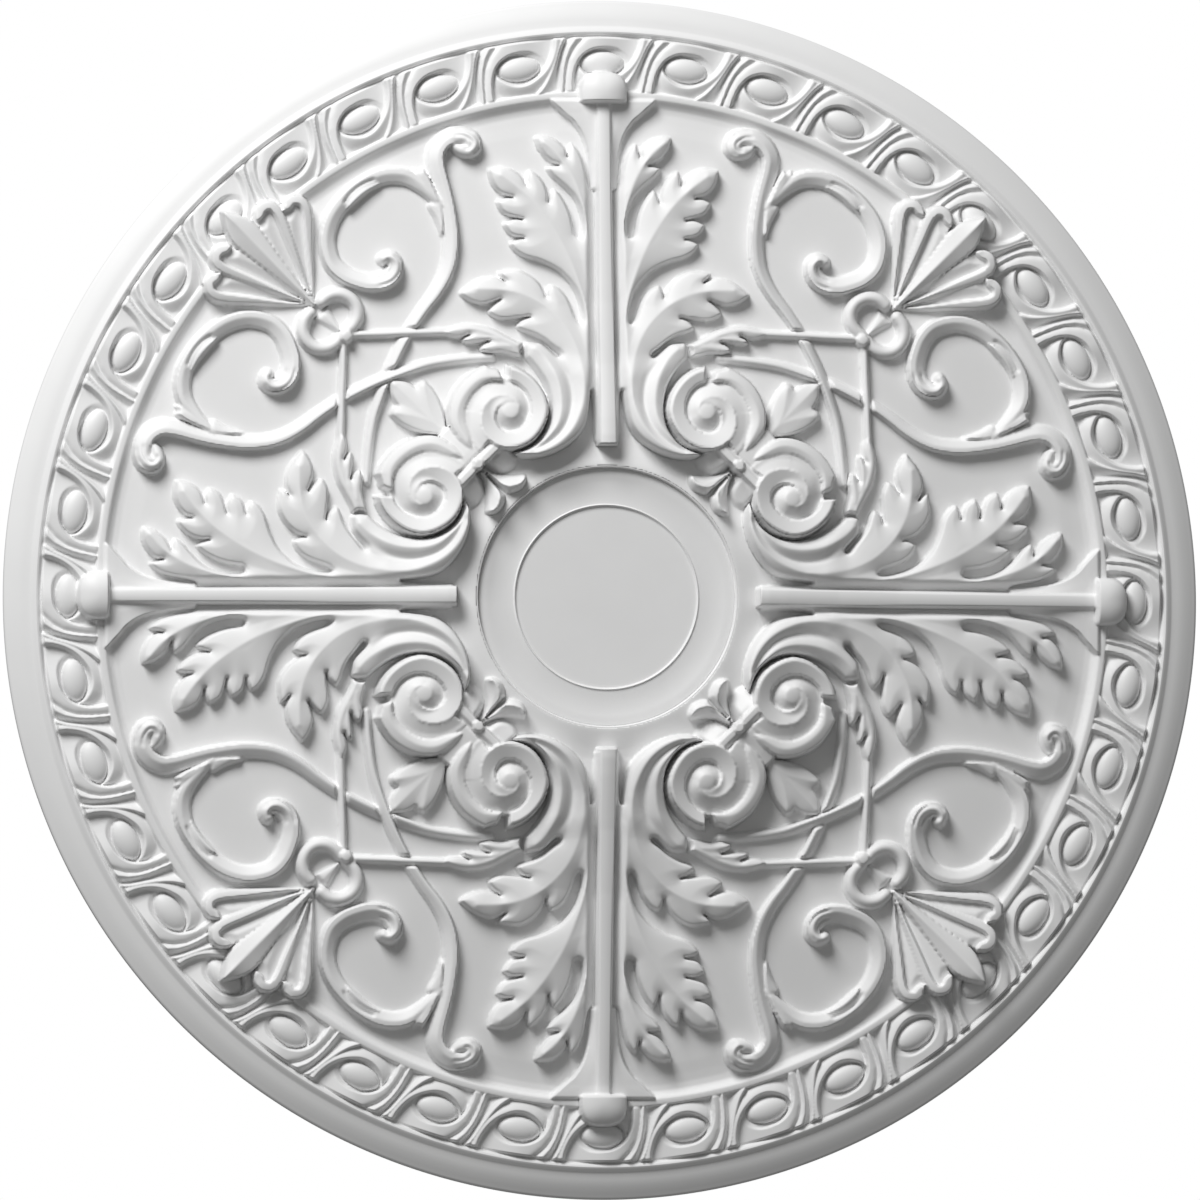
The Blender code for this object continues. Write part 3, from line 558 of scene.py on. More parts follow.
def volutes(p, q, height):
    # a band that winds out from an eye, by polar curves of its two edges against the angle, with a dished
    # top that falls inwards, a ledge along its outer edge and a channel between its turns that slopes out
    # from the last turn
    form = voluteForm
    eyeP, eyeQ = form["eye"]
    near = np.flatnonzero(np.hypot(p - eyeP, q - eyeQ) < form["reach"])
    x, y = p[near] - eyeP, q[near] - eyeQ
    rho = np.hypot(x, y)
    turn = np.degrees(np.arctan2(-y, x)) % 360.0
    r = np.hypot(p[near], q[near])
    face = coneHeight(r) + form["face"] + form["gain"] * innerGain(r)
    outer, inner = smoothRun(form["outer"]).T, smoothRun(form["inner"]).T
    start, end = outer[0, 0], outer[0, -1]
    level = np.zeros_like(face)
    # each channel: its edge nearer the eye, its edge farther out, the angles it has, and how deep it gets
    eyeEdge = np.full_like(turn, form["eyeRadius"])
    lastTurn = np.where(turn - 360.0 > start, np.interp(turn - 360.0, *outer), eyeEdge)
    firstDeep = form["channel"] - fade(turn, *form["shallower"])
    channels = [(lastTurn, np.interp(turn, *inner), turn >= 0.0, firstDeep),
                (eyeEdge, np.interp(turn - 360.0, *inner), turn > 312.0, form["innerEnd"]),
                (np.interp(turn, *outer), np.interp(turn + 360.0, *inner), turn < 54.0, form["outerEnd"])]
    for low, high, there, most in channels:
        width = np.maximum(high - low, 0.1)
        across = np.clip((rho - low) / width, 0.0, 1.0)
        deep = np.minimum(most, 0.9 * width)
        hollow = 0.7 + (deep - 0.7) * np.clip(across / 0.85, 0.0, 1.0) ** 0.9
        inChannel = there & (rho > low - 1.4) & (rho < high + 2.0) & (high > low)
        level = np.where(inChannel, np.maximum(level, face - hollow), level)
    for lap in (-360.0, 0.0):
        angle = turn + lap
        closed = angle < -48.0      # the first turn grows out of the eye, with no channel inside it
        low = np.interp(angle, *inner, left=0.0)
        low = np.where(closed, np.minimum(low, form["eyeRadius"] - 0.2), low)
        high = np.interp(angle, *outer)
        share = np.clip((rho - low) / np.maximum(high - low, 0.1), 0.0, 1.0)
        dish = form["dish"] * (share - 0.9) * ease((rho - 6.0) / 6.0)
        onLedge = fade(high - rho, form["ledge"], form["draft"], 1.0, 0.0) * fade(angle, *form["ledgeFrom"])
        # the band's wall, and at its end a wall across it, by length of arc
        wall = ease(wallStart + (high - rho) / form["draft"])
        wall *= ease((end - angle) * perDegree * rho / form["endDraft"])
        innerWall = np.where(closed, 1.0, ease(0.12 + (rho - low) / 0.8))
        onBand = (angle > start) & (angle < end) & (rho < high) & (rho > low)
        band = face + dish - form["ledge"] * onLedge
        band -= form["floorUnder"] * (1.0 - wall) + form["innerUnder"] * (1.0 - innerWall)
        level = np.where(onBand, np.maximum(level, band), level)
    cap = np.clip(1.0 - (rho / form["eyeRadius"]) ** 2, 0.0, 1.0)
    eye = face - 0.6 + (form["eyeRise"] + 0.6) * np.sqrt(cap)
    height[near] = np.maximum(height[near], np.where(rho < form["eyeRadius"], eye, level))


def knotCentre(p, q, height):
    # the strap between two volutes, flat with a drafted wall, two grooves and a bead; and behind it three
    # slopes whose rise is straight between heights along the diagonal
    form = voluteForm
    for u, v, slope in ((p, q, form["saddle"]), (p, q, form["apron"]), (q, p, form["apron"])):
        pick, x, y, depth = insideOf(u, v, slope["outline"])
        along = (x + y) * math.sqrt(0.5)
        up = np.interp(along, slope["at"], slope["rise"]) * ease(wallStart + depth / slope["draft"])
        raiseInside(height, pick, depth, coneHeight(np.hypot(x, y)) + up)
    pick, x, y, depth = insideOf(p, q, form["strap"])
    up = form["strapRise"] * ease(wallStart + depth / form["strapDraft"])
    raiseInside(height, pick, depth, coneHeight(np.hypot(x, y)) + up)
    for line in form["strapLines"]:
        groove(height, p, q, line, 0.5, 1.2)
    dome(p, q, height, form["bead"])


eggForm = {
    "middle": 299.1, "pitch": 9.0, "at": (0.0, 0.4), "half": (11.6, 6.7), "bed": 9.3, "rise": 4.3,
    "crest": 13.3, "valleyHeight": 8.8, "within": (-16.0, 16.5),
    # the crescent: its crest's fall by share of its length, its wall inwards, and outwards (mm, power, fall)
    "crescentFall": (0.72, 0.28, 0.0, 2.2), "crescentWall": (0.0, 2.0, 0.0, 3.9),
    "crescentBack": (8.0, 1.35, 4.4),
    # the shell: drop and rounding of its left edge, fall to the right, its edge over the egg and a cut there
    "shellDrop": 2.1, "shellRound": 1.5, "shellFall": (-4.0, 22.0, 0.0, 3.9),
    "lidWall": 1.5, "lidCut": (1.6, 1.6),
    # the egg's wall and the power of its top, and the ring cut round it: place and width in e, depth in mm
    "eggWall": 0.6, "eggPower": 0.42, "ringAt": 1.05, "ringWidth": 0.07, "ringDeep": 2.4,
    # how the border meets the turned form on both sides
    "innerEdge": (-15.6, 1.2), "outerEdge": (14.5, 1.4, 1.0, 0.0),
    # x along the border at each y out from the egg's middle, in mm: where the shell starts at its left, where
    # the crescent's crest ends at its right, the valley after it and the upright rib
    "y": [-16.5, -15.3, -11.0, -8.2, -5.5, -1.6, 3.3, 9.3, 13.7, 16.0],
    "shellLeft": [-22.9, -22.8, -22.2, -21.7, -21.2, -20.2, -18.9, -15.2, -11.0, -8.0],
    "crescentRight": [6.5, 8.0, 12.6, 14.8, 16.6, 19.0, 21.4, 23.6, 25.4, 26.4],
    "valley": [19.4, 19.6, 20.2, 20.7, 21.2, 21.9, 23.2, 25.2, 27.4, 28.6],
    "rib": [22.9, 23.1, 23.6, 24.0, 24.2, 24.8, 26.2, 28.6, 31.8, 34.0],
    # the crescent's crest, which sweeps from under the egg up to the right, and the shell's edge over the egg
    "crescent": [(22.0, 17.0), (21.7, 13.7), (20.9, 9.3), (18.6, 3.3), (15.1, -1.9), (10.4, -5.9),
                 (4.3, -9.0), (-1.9, -9.6), (-7.0, -8.0), (-10.8, -5.0), (-13.2, -1.6), (-14.6, 1.4)],
    "lid": [(-17.1, -17.0), (-16.6, -8.8), (-15.4, -2.7), (-13.2, 1.6), (-10.9, 4.4), (-8.0, 6.6),
            (-4.0, 8.3), (1.7, 9.0), (6.3, 8.7), (9.8, 7.3), (12.6, 4.8), (14.4, 1.6), (15.1, -1.9)],
}


def eggBorder(p, q):
    # height of the egg border in a 9 degree cell, told by distance from four kinds of crest: the shell and
    # its lid, the crescent under the egg, the rib that echoes it and the upright rib; the egg is an ellipse
    # with a top of (1 - e^2)^0.42, in a ring cut round it
    form = eggForm
    crest, bed, drop = form["crest"], form["bed"], form["shellDrop"]
    r = np.hypot(p, q)
    turn = np.degrees(np.arctan2(p, q)) + 0.5 * form["pitch"]
    y = r - form["middle"]
    across = (turn % form["pitch"] - 0.5 * form["pitch"]) * math.pi / 180.0 * form["middle"]
    pitch = math.radians(form["pitch"]) * form["middle"]
    names = ("shellLeft", "crescentRight", "valley", "rib")
    shellLeft, crescentRight, valley, rib = [np.interp(y, form["y"], form[name]) for name in names]
    x = np.where(across < shellLeft, across + pitch, across)
    away, side, share, _ = nearLine(x, y, smoothRun(form["crescent"]))
    out = side * away
    top = crest - fade(share, *form["crescentFall"])
    inward = top - fade(-out, *form["crescentWall"])
    width, power, fall = form["crescentBack"]
    outward = top - fall * np.clip(out / width, 0.0, 1.0) ** power
    lidAway, lidSide, _, _ = nearLine(x, y, smoothRun(form["lid"]))
    over = ease(0.35 + lidSide * lidAway / form["lidWall"])
    over = np.where((out < 0.0) | (x < -8.0), over, 0.0)
    shell = crest - drop * np.exp(-np.clip(x - shellLeft, 0.0, None) / form["shellRound"])
    shell -= fade(x, *form["shellFall"])
    cup = np.where(out < 0.0, bed, outward)
    deep, width = form["lidCut"]
    cup -= deep * np.exp(-(lidAway / width) ** 2) * ease(-x / 6.0)
    level = cup + (shell - cup) * over
    level = np.where(out < 0.0, np.maximum(level, inward), level)
    e = np.hypot((x - form["at"][0]) / form["half"][0], (y - form["at"][1]) / form["half"][1])
    ring = np.exp(-((e - form["ringAt"]) / form["ringWidth"]) ** 2)
    level = np.where(e < 1.3, level - np.clip(level - bed + 0.9, 0.0, form["ringDeep"]) * ring, level)
    egg = bed - form["eggWall"]
    egg = egg + (form["rise"] + form["eggWall"]) * np.clip(1.0 - e * e, 0.0, 1.0) ** form["eggPower"]
    level = np.where(e < 1.0, egg, level)
    level = np.where(out > 0.0, np.maximum(level, crest - 3.6 * ease((crescentRight - x) / 1.5)), level)
    steps = [(crescentRight, crest), (valley, form["valleyHeight"]), (rib, crest),
             (shellLeft + pitch, crest - drop)]
    beyond = np.full_like(x, crest)
    for (left, low), (right, high) in zip(steps, steps[1:]):
        beyond += (high - low) * ease((x - left) / np.maximum(right - left, 0.3))
    level = np.where(x > crescentRight, beyond, level)
    # both edges of the border fade into the turned form
    own = fade(y, *form["innerEdge"]) * fade(y, *form["outerEdge"])
    start, end = form["within"]
    return np.where((y > start) & (y < end), fieldHeight(r) + (level - fieldHeight(r)) * own, 0.0)


def mirrored(knots):
    # a stem's knots mirrored across the diagonal
    return [(knot[1], knot[0]) + knot[2:] for knot in knots]


def roseHeight(p, q):
    # height over the whole quarter between the right-hand and the far spine: each ornament in turn is the
    # higher of itself and what is there already, and most are made twice, mirrored across the diagonal
    height = fieldHeight(np.hypot(p, q))
    np.maximum(height, eggBorder(p, q), out=height)
    both = ((p, q), (q, p))
    steep = scrollForm["steep"]
    ties = [knotForm["tie"]["knots"], mirrored(knotForm["tie"]["knots"])]
    tube(p, q, height, steep, ties)
    shallow = {"knots": mirrored(steep["knots"]), "bevel": -steep["bevel"]}
    tube(p, q, height, shallow, ties + [steep["knots"]])
    for x, y in both:
        tube(x, y, height, scrollForm["hook"])
        tube(x, y, height, scrollForm["branch"])
        groove(height, x, y, scrollForm["spurGroove"], 0.8, 1.8)
        tube(x, y, height, scrollForm["spur"])
        for line in scrollForm["curlLines"]:
            groove(height, x, y, line, 0.75, 1.3)
        leaf(x, y, height, scrollForm["bract"])
        leaf(x, y, height, scrollForm["barb"])
        tube(x, y, height, knotForm["tie"])
        tube(x, y, height, knotForm["loop"])
    leaf(p, q, height, knotForm["wedge"])
    dome(p, q, height, knotForm["bead"])
    leaf(p, q, height, knotForm["threeLobed"])
    for x, y in both:
        sprays(x, y, height)
        leaf(x, y, height, voluteForm["wrap"])
        volutes(x, y, height)
        leaf(x, y, height, knotForm["husk"])
        leaf(x, y, height, voluteForm["bud"])
    knotCentre(p, q, height)
    palmette(p, q, height)
    for x, y in both:
        spines(x, y, height)
    return np.minimum(height, highest)


def turned(points, quarters):
    # points (p, q, h) turned by quarter turns about the middle: each takes (p, q) to (q, -p)
    p, q, h = points.T
    for _ in range(quarters):
        p, q = q, -p
    return np.column_stack([p, q, h])


def toRoom(points):
    # drawn millimetres to metres in the room, face down
    return points * np.array([mm, -mm, -mm])


def slopeNormals(p, q):
    # normal of the carved surface itself: minus its slope each way, measured over 0.6 mm, and 1 upwards
    step = 0.3
    slopeP = (roseHeight(p + step, q) - roseHeight(p - step, q)) / (2.0 * step)
    slopeQ = (roseHeight(p, q + step) - roseHeight(p, q - step)) / (2.0 * step)
    return np.column_stack([-slopeP, -slopeQ, np.ones_like(p)])


def latticeNormals(points):
    # normal at each lattice point: cross products of the diagonals, added over the four cells round it
    diagonalA = points[1:, 1:] - points[:-1, :-1]
    diagonalB = points[:-1, 1:] - points[1:, :-1]
    cell = np.cross(diagonalA, diagonalB)
    normal = np.zeros_like(points)
    normal[:-1, :-1] += cell
    normal[1:, :-1] += cell
    normal[:-1, 1:] += cell
    normal[1:, 1:] += cell
    return normal


def meshPiece(name, points, normals, faces):
    # a mesh from points, their normals and faces: normals brought to length 1, and all turned face down
    mesh = bpy.data.meshes.new(name)
    mesh.from_pydata(toRoom(points), [], faces)
    mesh.polygons.foreach_set("use_smooth", np.ones(len(mesh.polygons), dtype=bool))
    room = normals * np.array([1.0, -1.0, -1.0])
    room /= np.maximum(np.linalg.norm(room, axis=1, keepdims=True), 1e-12)
    mesh.normals_split_custom_set_from_vertices(room)
    mesh.materials.append(casting)
    piece = bpy.data.objects.new(name, mesh)
    bpy.context.scene.collection.objects.link(piece)
    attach(piece, "root")
    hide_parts("ceiling_rose")
    print(name, len(mesh.polygons), "faces")


def linear(code):
    # an sRGB hex colour as linear values: c / 12.92 below 0.04045, else ((c + 0.055) / 1.055) ^ 2.4
    parts = [int(code[i:i + 2], 16) / 255.0 for i in (0, 2, 4)]
    return tuple(c / 12.92 if c <= 0.04045 else ((c + 0.055) / 1.055) ** 2.4 for c in parts) + (1.0,)


def addNode(tree, kind, settings=None, links=None):
    # one node, its properties and constant sockets from settings, its inputs linked from links
    node = tree.nodes.new(kind)
    for key, value in (settings or {}).items():
        if key in node.inputs:
            node.inputs[key].default_value = value
        else:
            setattr(node, key, value)
    for key, socket in (links or {}).items():
        tree.links.new(socket, node.inputs[key])
    return node


castingLook = {
    "pale": "ECECEC", "shade": "E7E7E7", "roughness": 0.55, "ior": 1.48,
    "mottlePerMetre": 38.0,     # soft patches 26 mm across
    "grainPerMetre": 900.0,     # 1.1 mm grain; the real primer's is finer than the render can show
    "grainDepth": 0.00003, "grainStrength": 0.6,
}


def primedPolyurethane(look):
    # High-density polyurethane, moulded and factory primed: matt white, very even, with the faintest mottle
    # where the primer lies thicker and an orange-peel grain that only softens the highlights. Two colours
    # mixed by noise, and a bump from finer noise.
    material = bpy.data.materials.new("primedMouldedPolyurethane")
    material.use_nodes = True
    tree = material.node_tree
    shader = tree.nodes["Principled BSDF"]
    place = addNode(tree, "ShaderNodeTexCoord").outputs["Object"]
    mottle = addNode(tree, "ShaderNodeTexNoise", {"Scale": look["mottlePerMetre"], "Detail": 3.0},
                     {"Vector": place})
    tone = addNode(tree, "ShaderNodeMix", {"data_type": "RGBA"})
    colourA, colourB = [socket for socket in tone.inputs if socket.type == "RGBA"]
    mixed = [socket for socket in tone.outputs if socket.type == "RGBA"][0]
    colourA.default_value = linear(look["pale"])
    colourB.default_value = linear(look["shade"])
    tree.links.new(mottle.outputs["Fac"], tone.inputs["Factor"])
    tree.links.new(mixed, shader.inputs["Base Color"])
    grain = addNode(tree, "ShaderNodeTexNoise", {"Scale": look["grainPerMetre"], "Detail": 1.0},
                    {"Vector": place})
    depth = {"Distance": look["grainDepth"], "Strength": look["grainStrength"]}
    bump = addNode(tree, "ShaderNodeBump", depth, {"Height": grain.outputs["Fac"]})
    tree.links.new(bump.outputs["Normal"], shader.inputs["Normal"])
    shader.inputs["Roughness"].default_value = look["roughness"]
    shader.inputs["Metallic"].default_value = 0.0
    shader.inputs["IOR"].default_value = look["ior"]
    return material


casting = primedPolyurethane(castingLook)

# In mm: lattice step, the two circles, height of the closed underside, and the middle that the border's
# points go round; snap is how far a point may be moved, in steps
quarterForm = {"step": 0.84, "inner": 73.3, "outer": 283.5, "floor": 3.0, "snap": 0.42, "middle": 105.0}


def edgeLines():
    # every outline whose foot should be crisp, and its twin across the diagonal: leaf outlines, volute
    # spirals as eye + radius * (cos, -sin), petals turned back from their own axes, the bead's ring, and
    # stems' two sides
    leaves = (scrollForm["bract"], scrollForm["barb"], knotForm["husk"], knotForm["threeLobed"],
              voluteForm["wrap"], voluteForm["bud"])
    loops = [sprayOutline(), spineForm["flare"], voluteForm["strap"]] + [form["outline"] for form in leaves]
    lines = [outlineOf(loop) for loop in loops]
    for name in ("outer", "inner"):
        turn, radius = smoothRun(voluteForm[name]).T
        turn = np.radians(turn)
        lines.append(np.column_stack([voluteForm["eye"][0] + radius * np.cos(turn),
                                      voluteForm["eye"][1] - radius * np.sin(turn)]))
    petal = petalOutline()
    fans = [outlineOf(palmetteForm["centre"])]
    for turn, length, _ in palmetteForm["turns"]:
        c, s = math.cos(math.radians(turn)), math.sin(math.radians(turn))
        a, b = petal[:, 0] * length / palmetteForm["length"], petal[:, 1]
        fans.append(np.column_stack([palmetteForm["foot"] + a * c + b * s, a * s - b * c]))
    for u, v in [fan.T for fan in fans]:
        lines.append(np.column_stack([u - v, u + v]) * math.sqrt(0.5))
    (beadP, beadQ), (halfP, halfQ) = voluteForm["bead"]["at"], voluteForm["bead"]["half"]
    turn = np.linspace(0.0, 2.0 * math.pi, 25)
    lines.append(np.column_stack([beadP + halfP * np.cos(turn), beadQ + halfQ * np.sin(turn)]))
    for stem in (scrollForm["steep"], scrollForm["branch"], knotForm["loop"], knotForm["tie"]):
        run = smoothRun(stem["knots"])
        way = np.gradient(run[:, :2], axis=0)
        way /= np.linalg.norm(way, axis=1, keepdims=True)
        aside = np.column_stack([-way[:, 1], way[:, 0]]) * run[:, 2:3]
        lines += [run[:, :2] + aside, run[:, :2] - aside]
    return lines + [line[:, ::-1] for line in lines]


def quarterPoints(form):
    # a square lattice over one quarter: a point beyond one of the two circles is scaled onto it, and a
    # point that lies within reach of an ornament's outline is moved to the nearest spot on the nearest
    # outline
    count = int(form["outer"] / form["step"]) + 3
    line = np.arange(count) * form["step"]
    p, q = np.meshgrid(line, line, indexing="ij")
    r = np.hypot(p, q)
    inside = (r > form["inner"]) & (r < form["outer"])
    # the cells with a corner inside
    used = inside[:-1, :-1] | inside[1:, :-1] | inside[:-1, 1:] | inside[1:, 1:]
    scale = np.clip(r, form["inner"], form["outer"]) / np.maximum(r, 1e-6)
    p, q = p * scale, q * scale
    reach = form["snap"] * form["step"]
    free = inside & (p > 0.0) & (q > 0.0)
    moved = np.full(p.shape, reach)
    newP, newQ = p.copy(), q.copy()
    for edge in edgeLines():
        low = edge.min(0) - reach
        high = edge.max(0) + reach
        pick = np.nonzero(free & (p > low[0]) & (p < high[0]) & (q > low[1]) & (q < high[1]))
        away, _, _, value = nearLine(p[pick], q[pick], edge)
        better = away < moved[pick]
        spot = tuple(axis[better] for axis in pick)
        moved[spot] = away[better]
        newP[spot] = value[better, 0]
        newQ[spot] = value[better, 1]
    return newP, newQ, used


def buildQuarters(form):
    # one quarter as a closed piece, made four times: the carved lattice on top, a wall straight down from
    # its border to the floor height, and one flat face below; the border's points are put in order by angle
    # about the middle
    p, q, used = quarterPoints(form)
    need = np.zeros(p.shape, dtype=bool)
    for i, j in ((0, 0), (1, 0), (0, 1), (1, 1)):
        need[i:i + used.shape[0], j:j + used.shape[1]] |= used
    h = np.zeros_like(p)
    h[need] = roseHeight(p[need], q[need])
    points = np.stack([p, q, h], axis=2)
    normals = latticeNormals(points)
    seam = need & (np.abs(np.hypot(p, q) - form["outer"]) < tiny)
    normals[seam] = slopeNormals(p[seam], q[seam])
    normals[0, :, 0] = 0.0      # the ornament is mirrored across each spine
    normals[:, 0, 1] = 0.0
    index = np.full(p.shape, -1)
    index[need] = np.arange(need.sum())
    i, j = np.argwhere(used).T
    faces = np.column_stack([index[i, j], index[i + 1, j], index[i + 1, j + 1], index[i, j + 1]])
    top = points[need]
    # edges that only one face has make the border of the quarter
    edges = np.vstack([faces[:, [k, (k + 1) % 4]] for k in range(4)])
    _, first, count = np.unique(np.sort(edges, axis=1), axis=0, return_index=True, return_counts=True)
    border = edges[first[count == 1]]
    ring = np.unique(border)
    fromMiddle = top[ring, :2] - form["middle"]
    order = np.argsort(np.arctan2(fromMiddle[:, 1], fromMiddle[:, 0]))
    ring, fromMiddle = ring[order], fromMiddle[order]
    place = np.full(len(top), -1)
    place[ring] = np.arange(len(ring))
    base = len(top)
    upper = top[ring]
    lower = upper * [1.0, 1.0, 0.0] + [0.0, 0.0, form["floor"]]
    outward = np.column_stack([fromMiddle, np.zeros(len(ring))])
    a, b = place[border].T
    walls = np.column_stack([base + a, base + len(ring) + a, base + len(ring) + b, base + b])
    cap = base + 2 * len(ring) + np.arange(len(ring))[::-1]
    pointSet = np.vstack([top, upper, lower, lower])
    normalSet = np.vstack([normals[need], outward, outward, np.tile([0.0, 0.0, -1.0], (len(ring), 1))])
    faceList = faces.tolist() + walls.tolist() + [cap.tolist()]
    for k in quarterTurns:
        meshPiece(f"carvedQuarter{k + 1}", turned(pointSet, k), turned(normalSet, k), faceList)


# The two circles, rows between them, columns per egg, eggs in a quarter, height of the closed underside
borderForm = {"inner": 283.5, "outer": 317.2, "rows": 56, "perEgg": 60, "eggs": 10, "floor": 2.0}


def buildBorders(form):
    # the egg border as two closed halves: a polar lattice (r sin t, r cos t) over one quarter, repeated
    # four times, with walls straight down from its two circles to the floor height, a floor between them
    # and flat ends
    columns = form["perEgg"] * form["eggs"]
    turn = np.linspace(0.0, 0.5 * math.pi, columns + 1)
    radius = np.linspace(form["inner"], form["outer"], form["rows"] + 1)
    t, r = np.meshgrid(turn, radius, indexing="ij")
    p, q = r * np.sin(t), r * np.cos(t)
    h = roseHeight(p.ravel(), q.ravel()).reshape(p.shape)
    quarter = np.stack([p, q, h], axis=2)
    parts = [turned(quarter.reshape(-1, 3), k).reshape(quarter.shape)[:-1] for k in quarterTurns]
    # one column more at each end, so that the normals there see both sides
    ringTop = np.concatenate([parts[3][-1:]] + parts + [parts[0][:2]], axis=0)
    ringNormals = latticeNormals(ringTop)[1:-1]
    ringTop = ringTop[1:-1]
    seam = slopeNormals(p[:, 0], q[:, 0])
    ringNormals[:-1, 0] = np.concatenate([turned(seam[:-1], k) for k in quarterTurns])
    ringNormals[-1, 0] = ringNormals[0, 0]
    span = 2 * columns
    flat = np.array([1.0, 1.0, 0.0])
    lift = np.array([0.0, 0.0, form["floor"]])
    for half in (0, 1):
        top = ringTop[half * span:(half + 1) * span + 1]
        normals = ringNormals[half * span:(half + 1) * span + 1]
        section = np.stack([top[:, 0], top[:, 0] * flat + lift, top[:, -1] * flat + lift, top[:, -1]], axis=1)
        rows, cols = top.shape[:2]
        index = np.arange(rows * cols).reshape(rows, cols)
        faces = np.stack([index[:-1, :-1], index[1:, :-1], index[1:, 1:], index[:-1, 1:]], axis=2)
        faceList = faces.reshape(-1, 4).tolist()
        base = rows * cols
        outwards = top[:, -1] * flat
        pointSet = [top.reshape(-1, 3)]
        normalSet = [normals.reshape(-1, 3)]
        for k, way in ((0, -outwards), (1, np.tile([0.0, 0.0, -1.0], (rows, 1))), (2, outwards)):
            pointSet.append(section[:, [k, k + 1]].reshape(-1, 3))
            normalSet.append(np.repeat(way, 2, axis=0))
            m = base + 2 * np.arange(rows - 1)
            faceList += np.column_stack([m, m + 1, m + 3, m + 2]).tolist()
            base += 2 * rows
        for end, inside in ((0, 1), (rows - 1, rows - 2)):
            edge = top[end]
            loop = np.vstack([edge, edge[-1:] * flat + lift, edge[:1] * flat + lift])
            order = np.arange(len(loop)) + base
            faceList.append((order if end == 0 else order[::-1]).tolist())
            pointSet.append(loop)
            normalSet.append(np.tile((top[end, 0] - top[inside, 0]) * flat, (len(loop), 1)))
            base += len(loop)
        meshPiece(f"eggBorder{half + 1}", np.vstack(pointSet), np.vstack(normalSet), faceList)


softCorner = 0.72   # cosine of about 44 degrees


def buildTurned(name, profile, steps):
    # a profile (radius, height) carried round the middle as (r sin t, r cos t, h); where two lengths of it
    # meet at less than about 44 degrees they share the mean of their normals, and else each keeps its own
    line = np.array(profile, dtype=float)
    turn = np.linspace(0.0, 2.0 * math.pi, steps, endpoint=False)
    step = line[1:] - line[:-1]
    flat = np.column_stack([-step[:, 1], step[:, 0]])
    flat /= np.maximum(np.linalg.norm(flat, axis=1, keepdims=True), 1e-9)
    r = np.stack([line[:-1, 0], line[1:, 0]], axis=1).ravel()
    h = np.stack([line[:-1, 1], line[1:, 1]], axis=1).ravel()
    nr, nh = np.repeat(flat, 2, axis=0).T
    soft = np.flatnonzero((flat[:-1] * flat[1:]).sum(1) > softCorner)
    mean = flat[:-1] + flat[1:]
    nr[2 * soft + 1] = nr[2 * soft + 2] = mean[soft, 0]
    nh[2 * soft + 1] = nh[2 * soft + 2] = mean[soft, 1]
    s, c = np.sin(turn)[:, None], np.cos(turn)[:, None]
    level = np.ones_like(s)
    points = np.stack([r * s, r * c, h * level], axis=2).reshape(-1, 3)
    normals = np.stack([nr * s, nr * c, nh * level], axis=2).reshape(-1, 3)
    rows = len(r)
    i = np.arange(steps)[:, None]
    k = 2 * np.arange(len(step))[None, :]
    following = (i + 1) % steps
    faces = np.stack([i * rows + k, following * rows + k, following * rows + k + 1, i * rows + k + 1], axis=2)
    meshPiece(name, points, normals, faces.reshape(-1, 4).tolist())


print("carving one quarter")
buildQuarters(quarterForm)
print("carving the egg border")
buildBorders(borderForm)
print("turning the rim, back and centre")
buildTurned("turnedCentre", turnedForm["centre"], 360)
buildTurned("turnedRimAndBack", turnedForm["rim"], 480)


# The room, in metres, degrees and watts: a pale floor far below, a white world and a soft window light from
# the far left, which stands keyAzimuth round from the image's right and keyHeight above the rose's plane
roomForm = {
    "floor": -30.0, "floorSize": 160.0, "floorPaint": "E4E4E2", "sky": 0.20,
    "keyAzimuth": 121.0, "keyHeight": 34.5, "keyDistance": 3.0, "keySize": 1.3, "keyPower": 92.0,
}


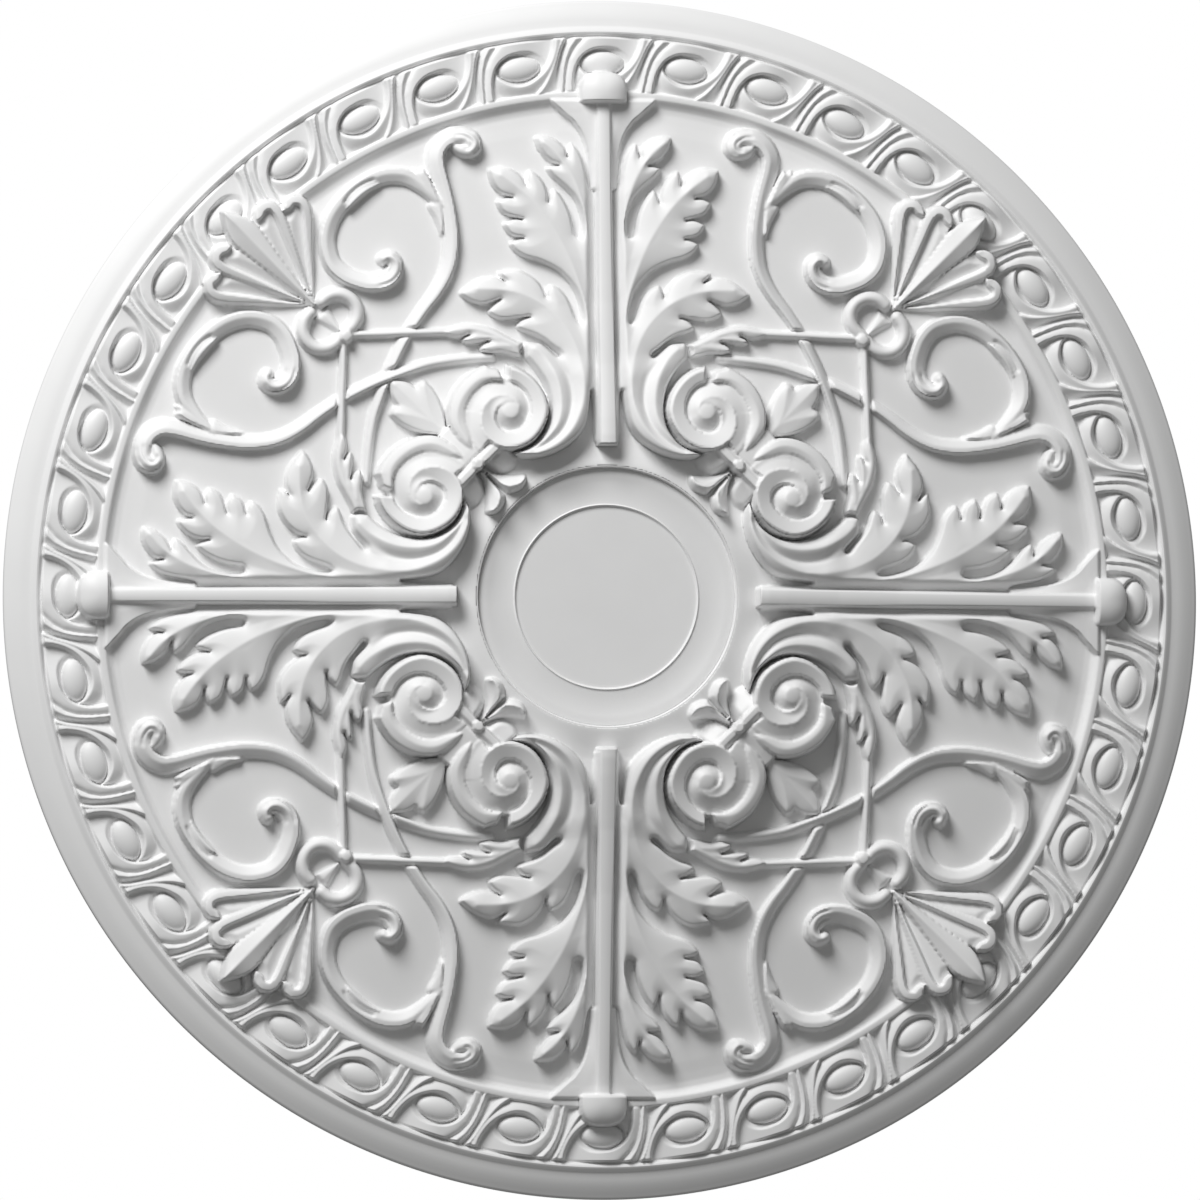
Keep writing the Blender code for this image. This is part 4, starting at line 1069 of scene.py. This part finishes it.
def buildRoom(form):
    # the world's light is dim, and only the camera sees it at full white behind the rose
    bpy.ops.mesh.primitive_plane_add(size=form["floorSize"], location=(0.0, 0.0, form["floor"]))
    floor = bpy.context.object
    floor.name = "paleFloor"
    paint = bpy.data.materials.new("mattFloorPaint")
    paint.use_nodes = True
    paint.node_tree.nodes["Principled BSDF"].inputs["Base Color"].default_value = linear(form["floorPaint"])
    paint.node_tree.nodes["Principled BSDF"].inputs["Roughness"].default_value = 0.8
    floor.data.materials.append(paint)
    world = bpy.data.worlds.new("whiteStudio")
    world.use_nodes = True
    tree = world.node_tree
    sky = tree.nodes["Background"]
    sky.inputs["Color"].default_value = linear("FFFFFF")
    sky.inputs["Strength"].default_value = form["sky"]
    backdrop = addNode(tree, "ShaderNodeBackground", {"Strength": 1.0, "Color": linear("FFFFFF")})
    seen = addNode(tree, "ShaderNodeLightPath").outputs["Is Camera Ray"]
    mixed = addNode(tree, "ShaderNodeMixShader", {}, {"Fac": seen})
    tree.links.new(sky.outputs[0], mixed.inputs[1])
    tree.links.new(backdrop.outputs[0], mixed.inputs[2])
    tree.links.new(mixed.outputs[0], tree.nodes["World Output"].inputs["Surface"])
    bpy.context.scene.world = world
    azimuth = math.radians(form["keyAzimuth"])
    tilt = math.radians(form["keyHeight"])
    # image right is +X and image up is -Y, seen from below
    way = Vector((math.cos(azimuth) * math.cos(tilt), -math.sin(azimuth) * math.cos(tilt), -math.sin(tilt)))
    lamp = bpy.data.lights.new("windowLight", "AREA")
    lamp.size = form["keySize"]
    lamp.energy = form["keyPower"]
    holder = bpy.data.objects.new("windowLight", lamp)
    holder.location = way * form["keyDistance"]
    holder.rotation_euler = way.to_track_quat("Z", "Y").to_euler()
    bpy.context.scene.collection.objects.link(holder)


# The camera, in metres and degrees: how far off, how far round to the image's left and near side, how much
# of the rose's plane the image shows, and the point it looks at
cameraForm = {
    "distance": 16.0, "towardsLeft": 6.6, "towardsNear": 3.2, "across": 0.6697,
    "aim": (-0.0004, 0.0001, -0.002), "sensor": 36.0, "clipEnd": 200.0,
}


def buildCamera(form):
    # far below the rose with a very long lens, whose length is sensor * distance / across
    left = math.radians(form["towardsLeft"])
    near = math.radians(form["towardsNear"])
    way = Vector((-math.tan(left), math.tan(near), -1.0)).normalized()
    lens = bpy.data.cameras.new("view")
    lens.sensor_width = form["sensor"]
    lens.lens = form["sensor"] * form["distance"] / form["across"]
    lens.clip_end = form["clipEnd"]
    camera = bpy.data.objects.new("view", lens)
    # the image's up is -Y
    across = Vector((0.0, -1.0, 0.0)).cross(way).normalized()
    turn = Matrix((across, way.cross(across), way)).transposed()
    camera.matrix_world = Matrix.Translation(way * form["distance"] + Vector(form["aim"])) @ turn.to_4x4()
    bpy.context.scene.collection.objects.link(camera)
    bpy.context.scene.camera = camera


buildRoom(roomForm)
buildCamera(cameraForm)
bpy.context.scene.view_settings.view_transform = "Standard"
print("room, light and camera are set")
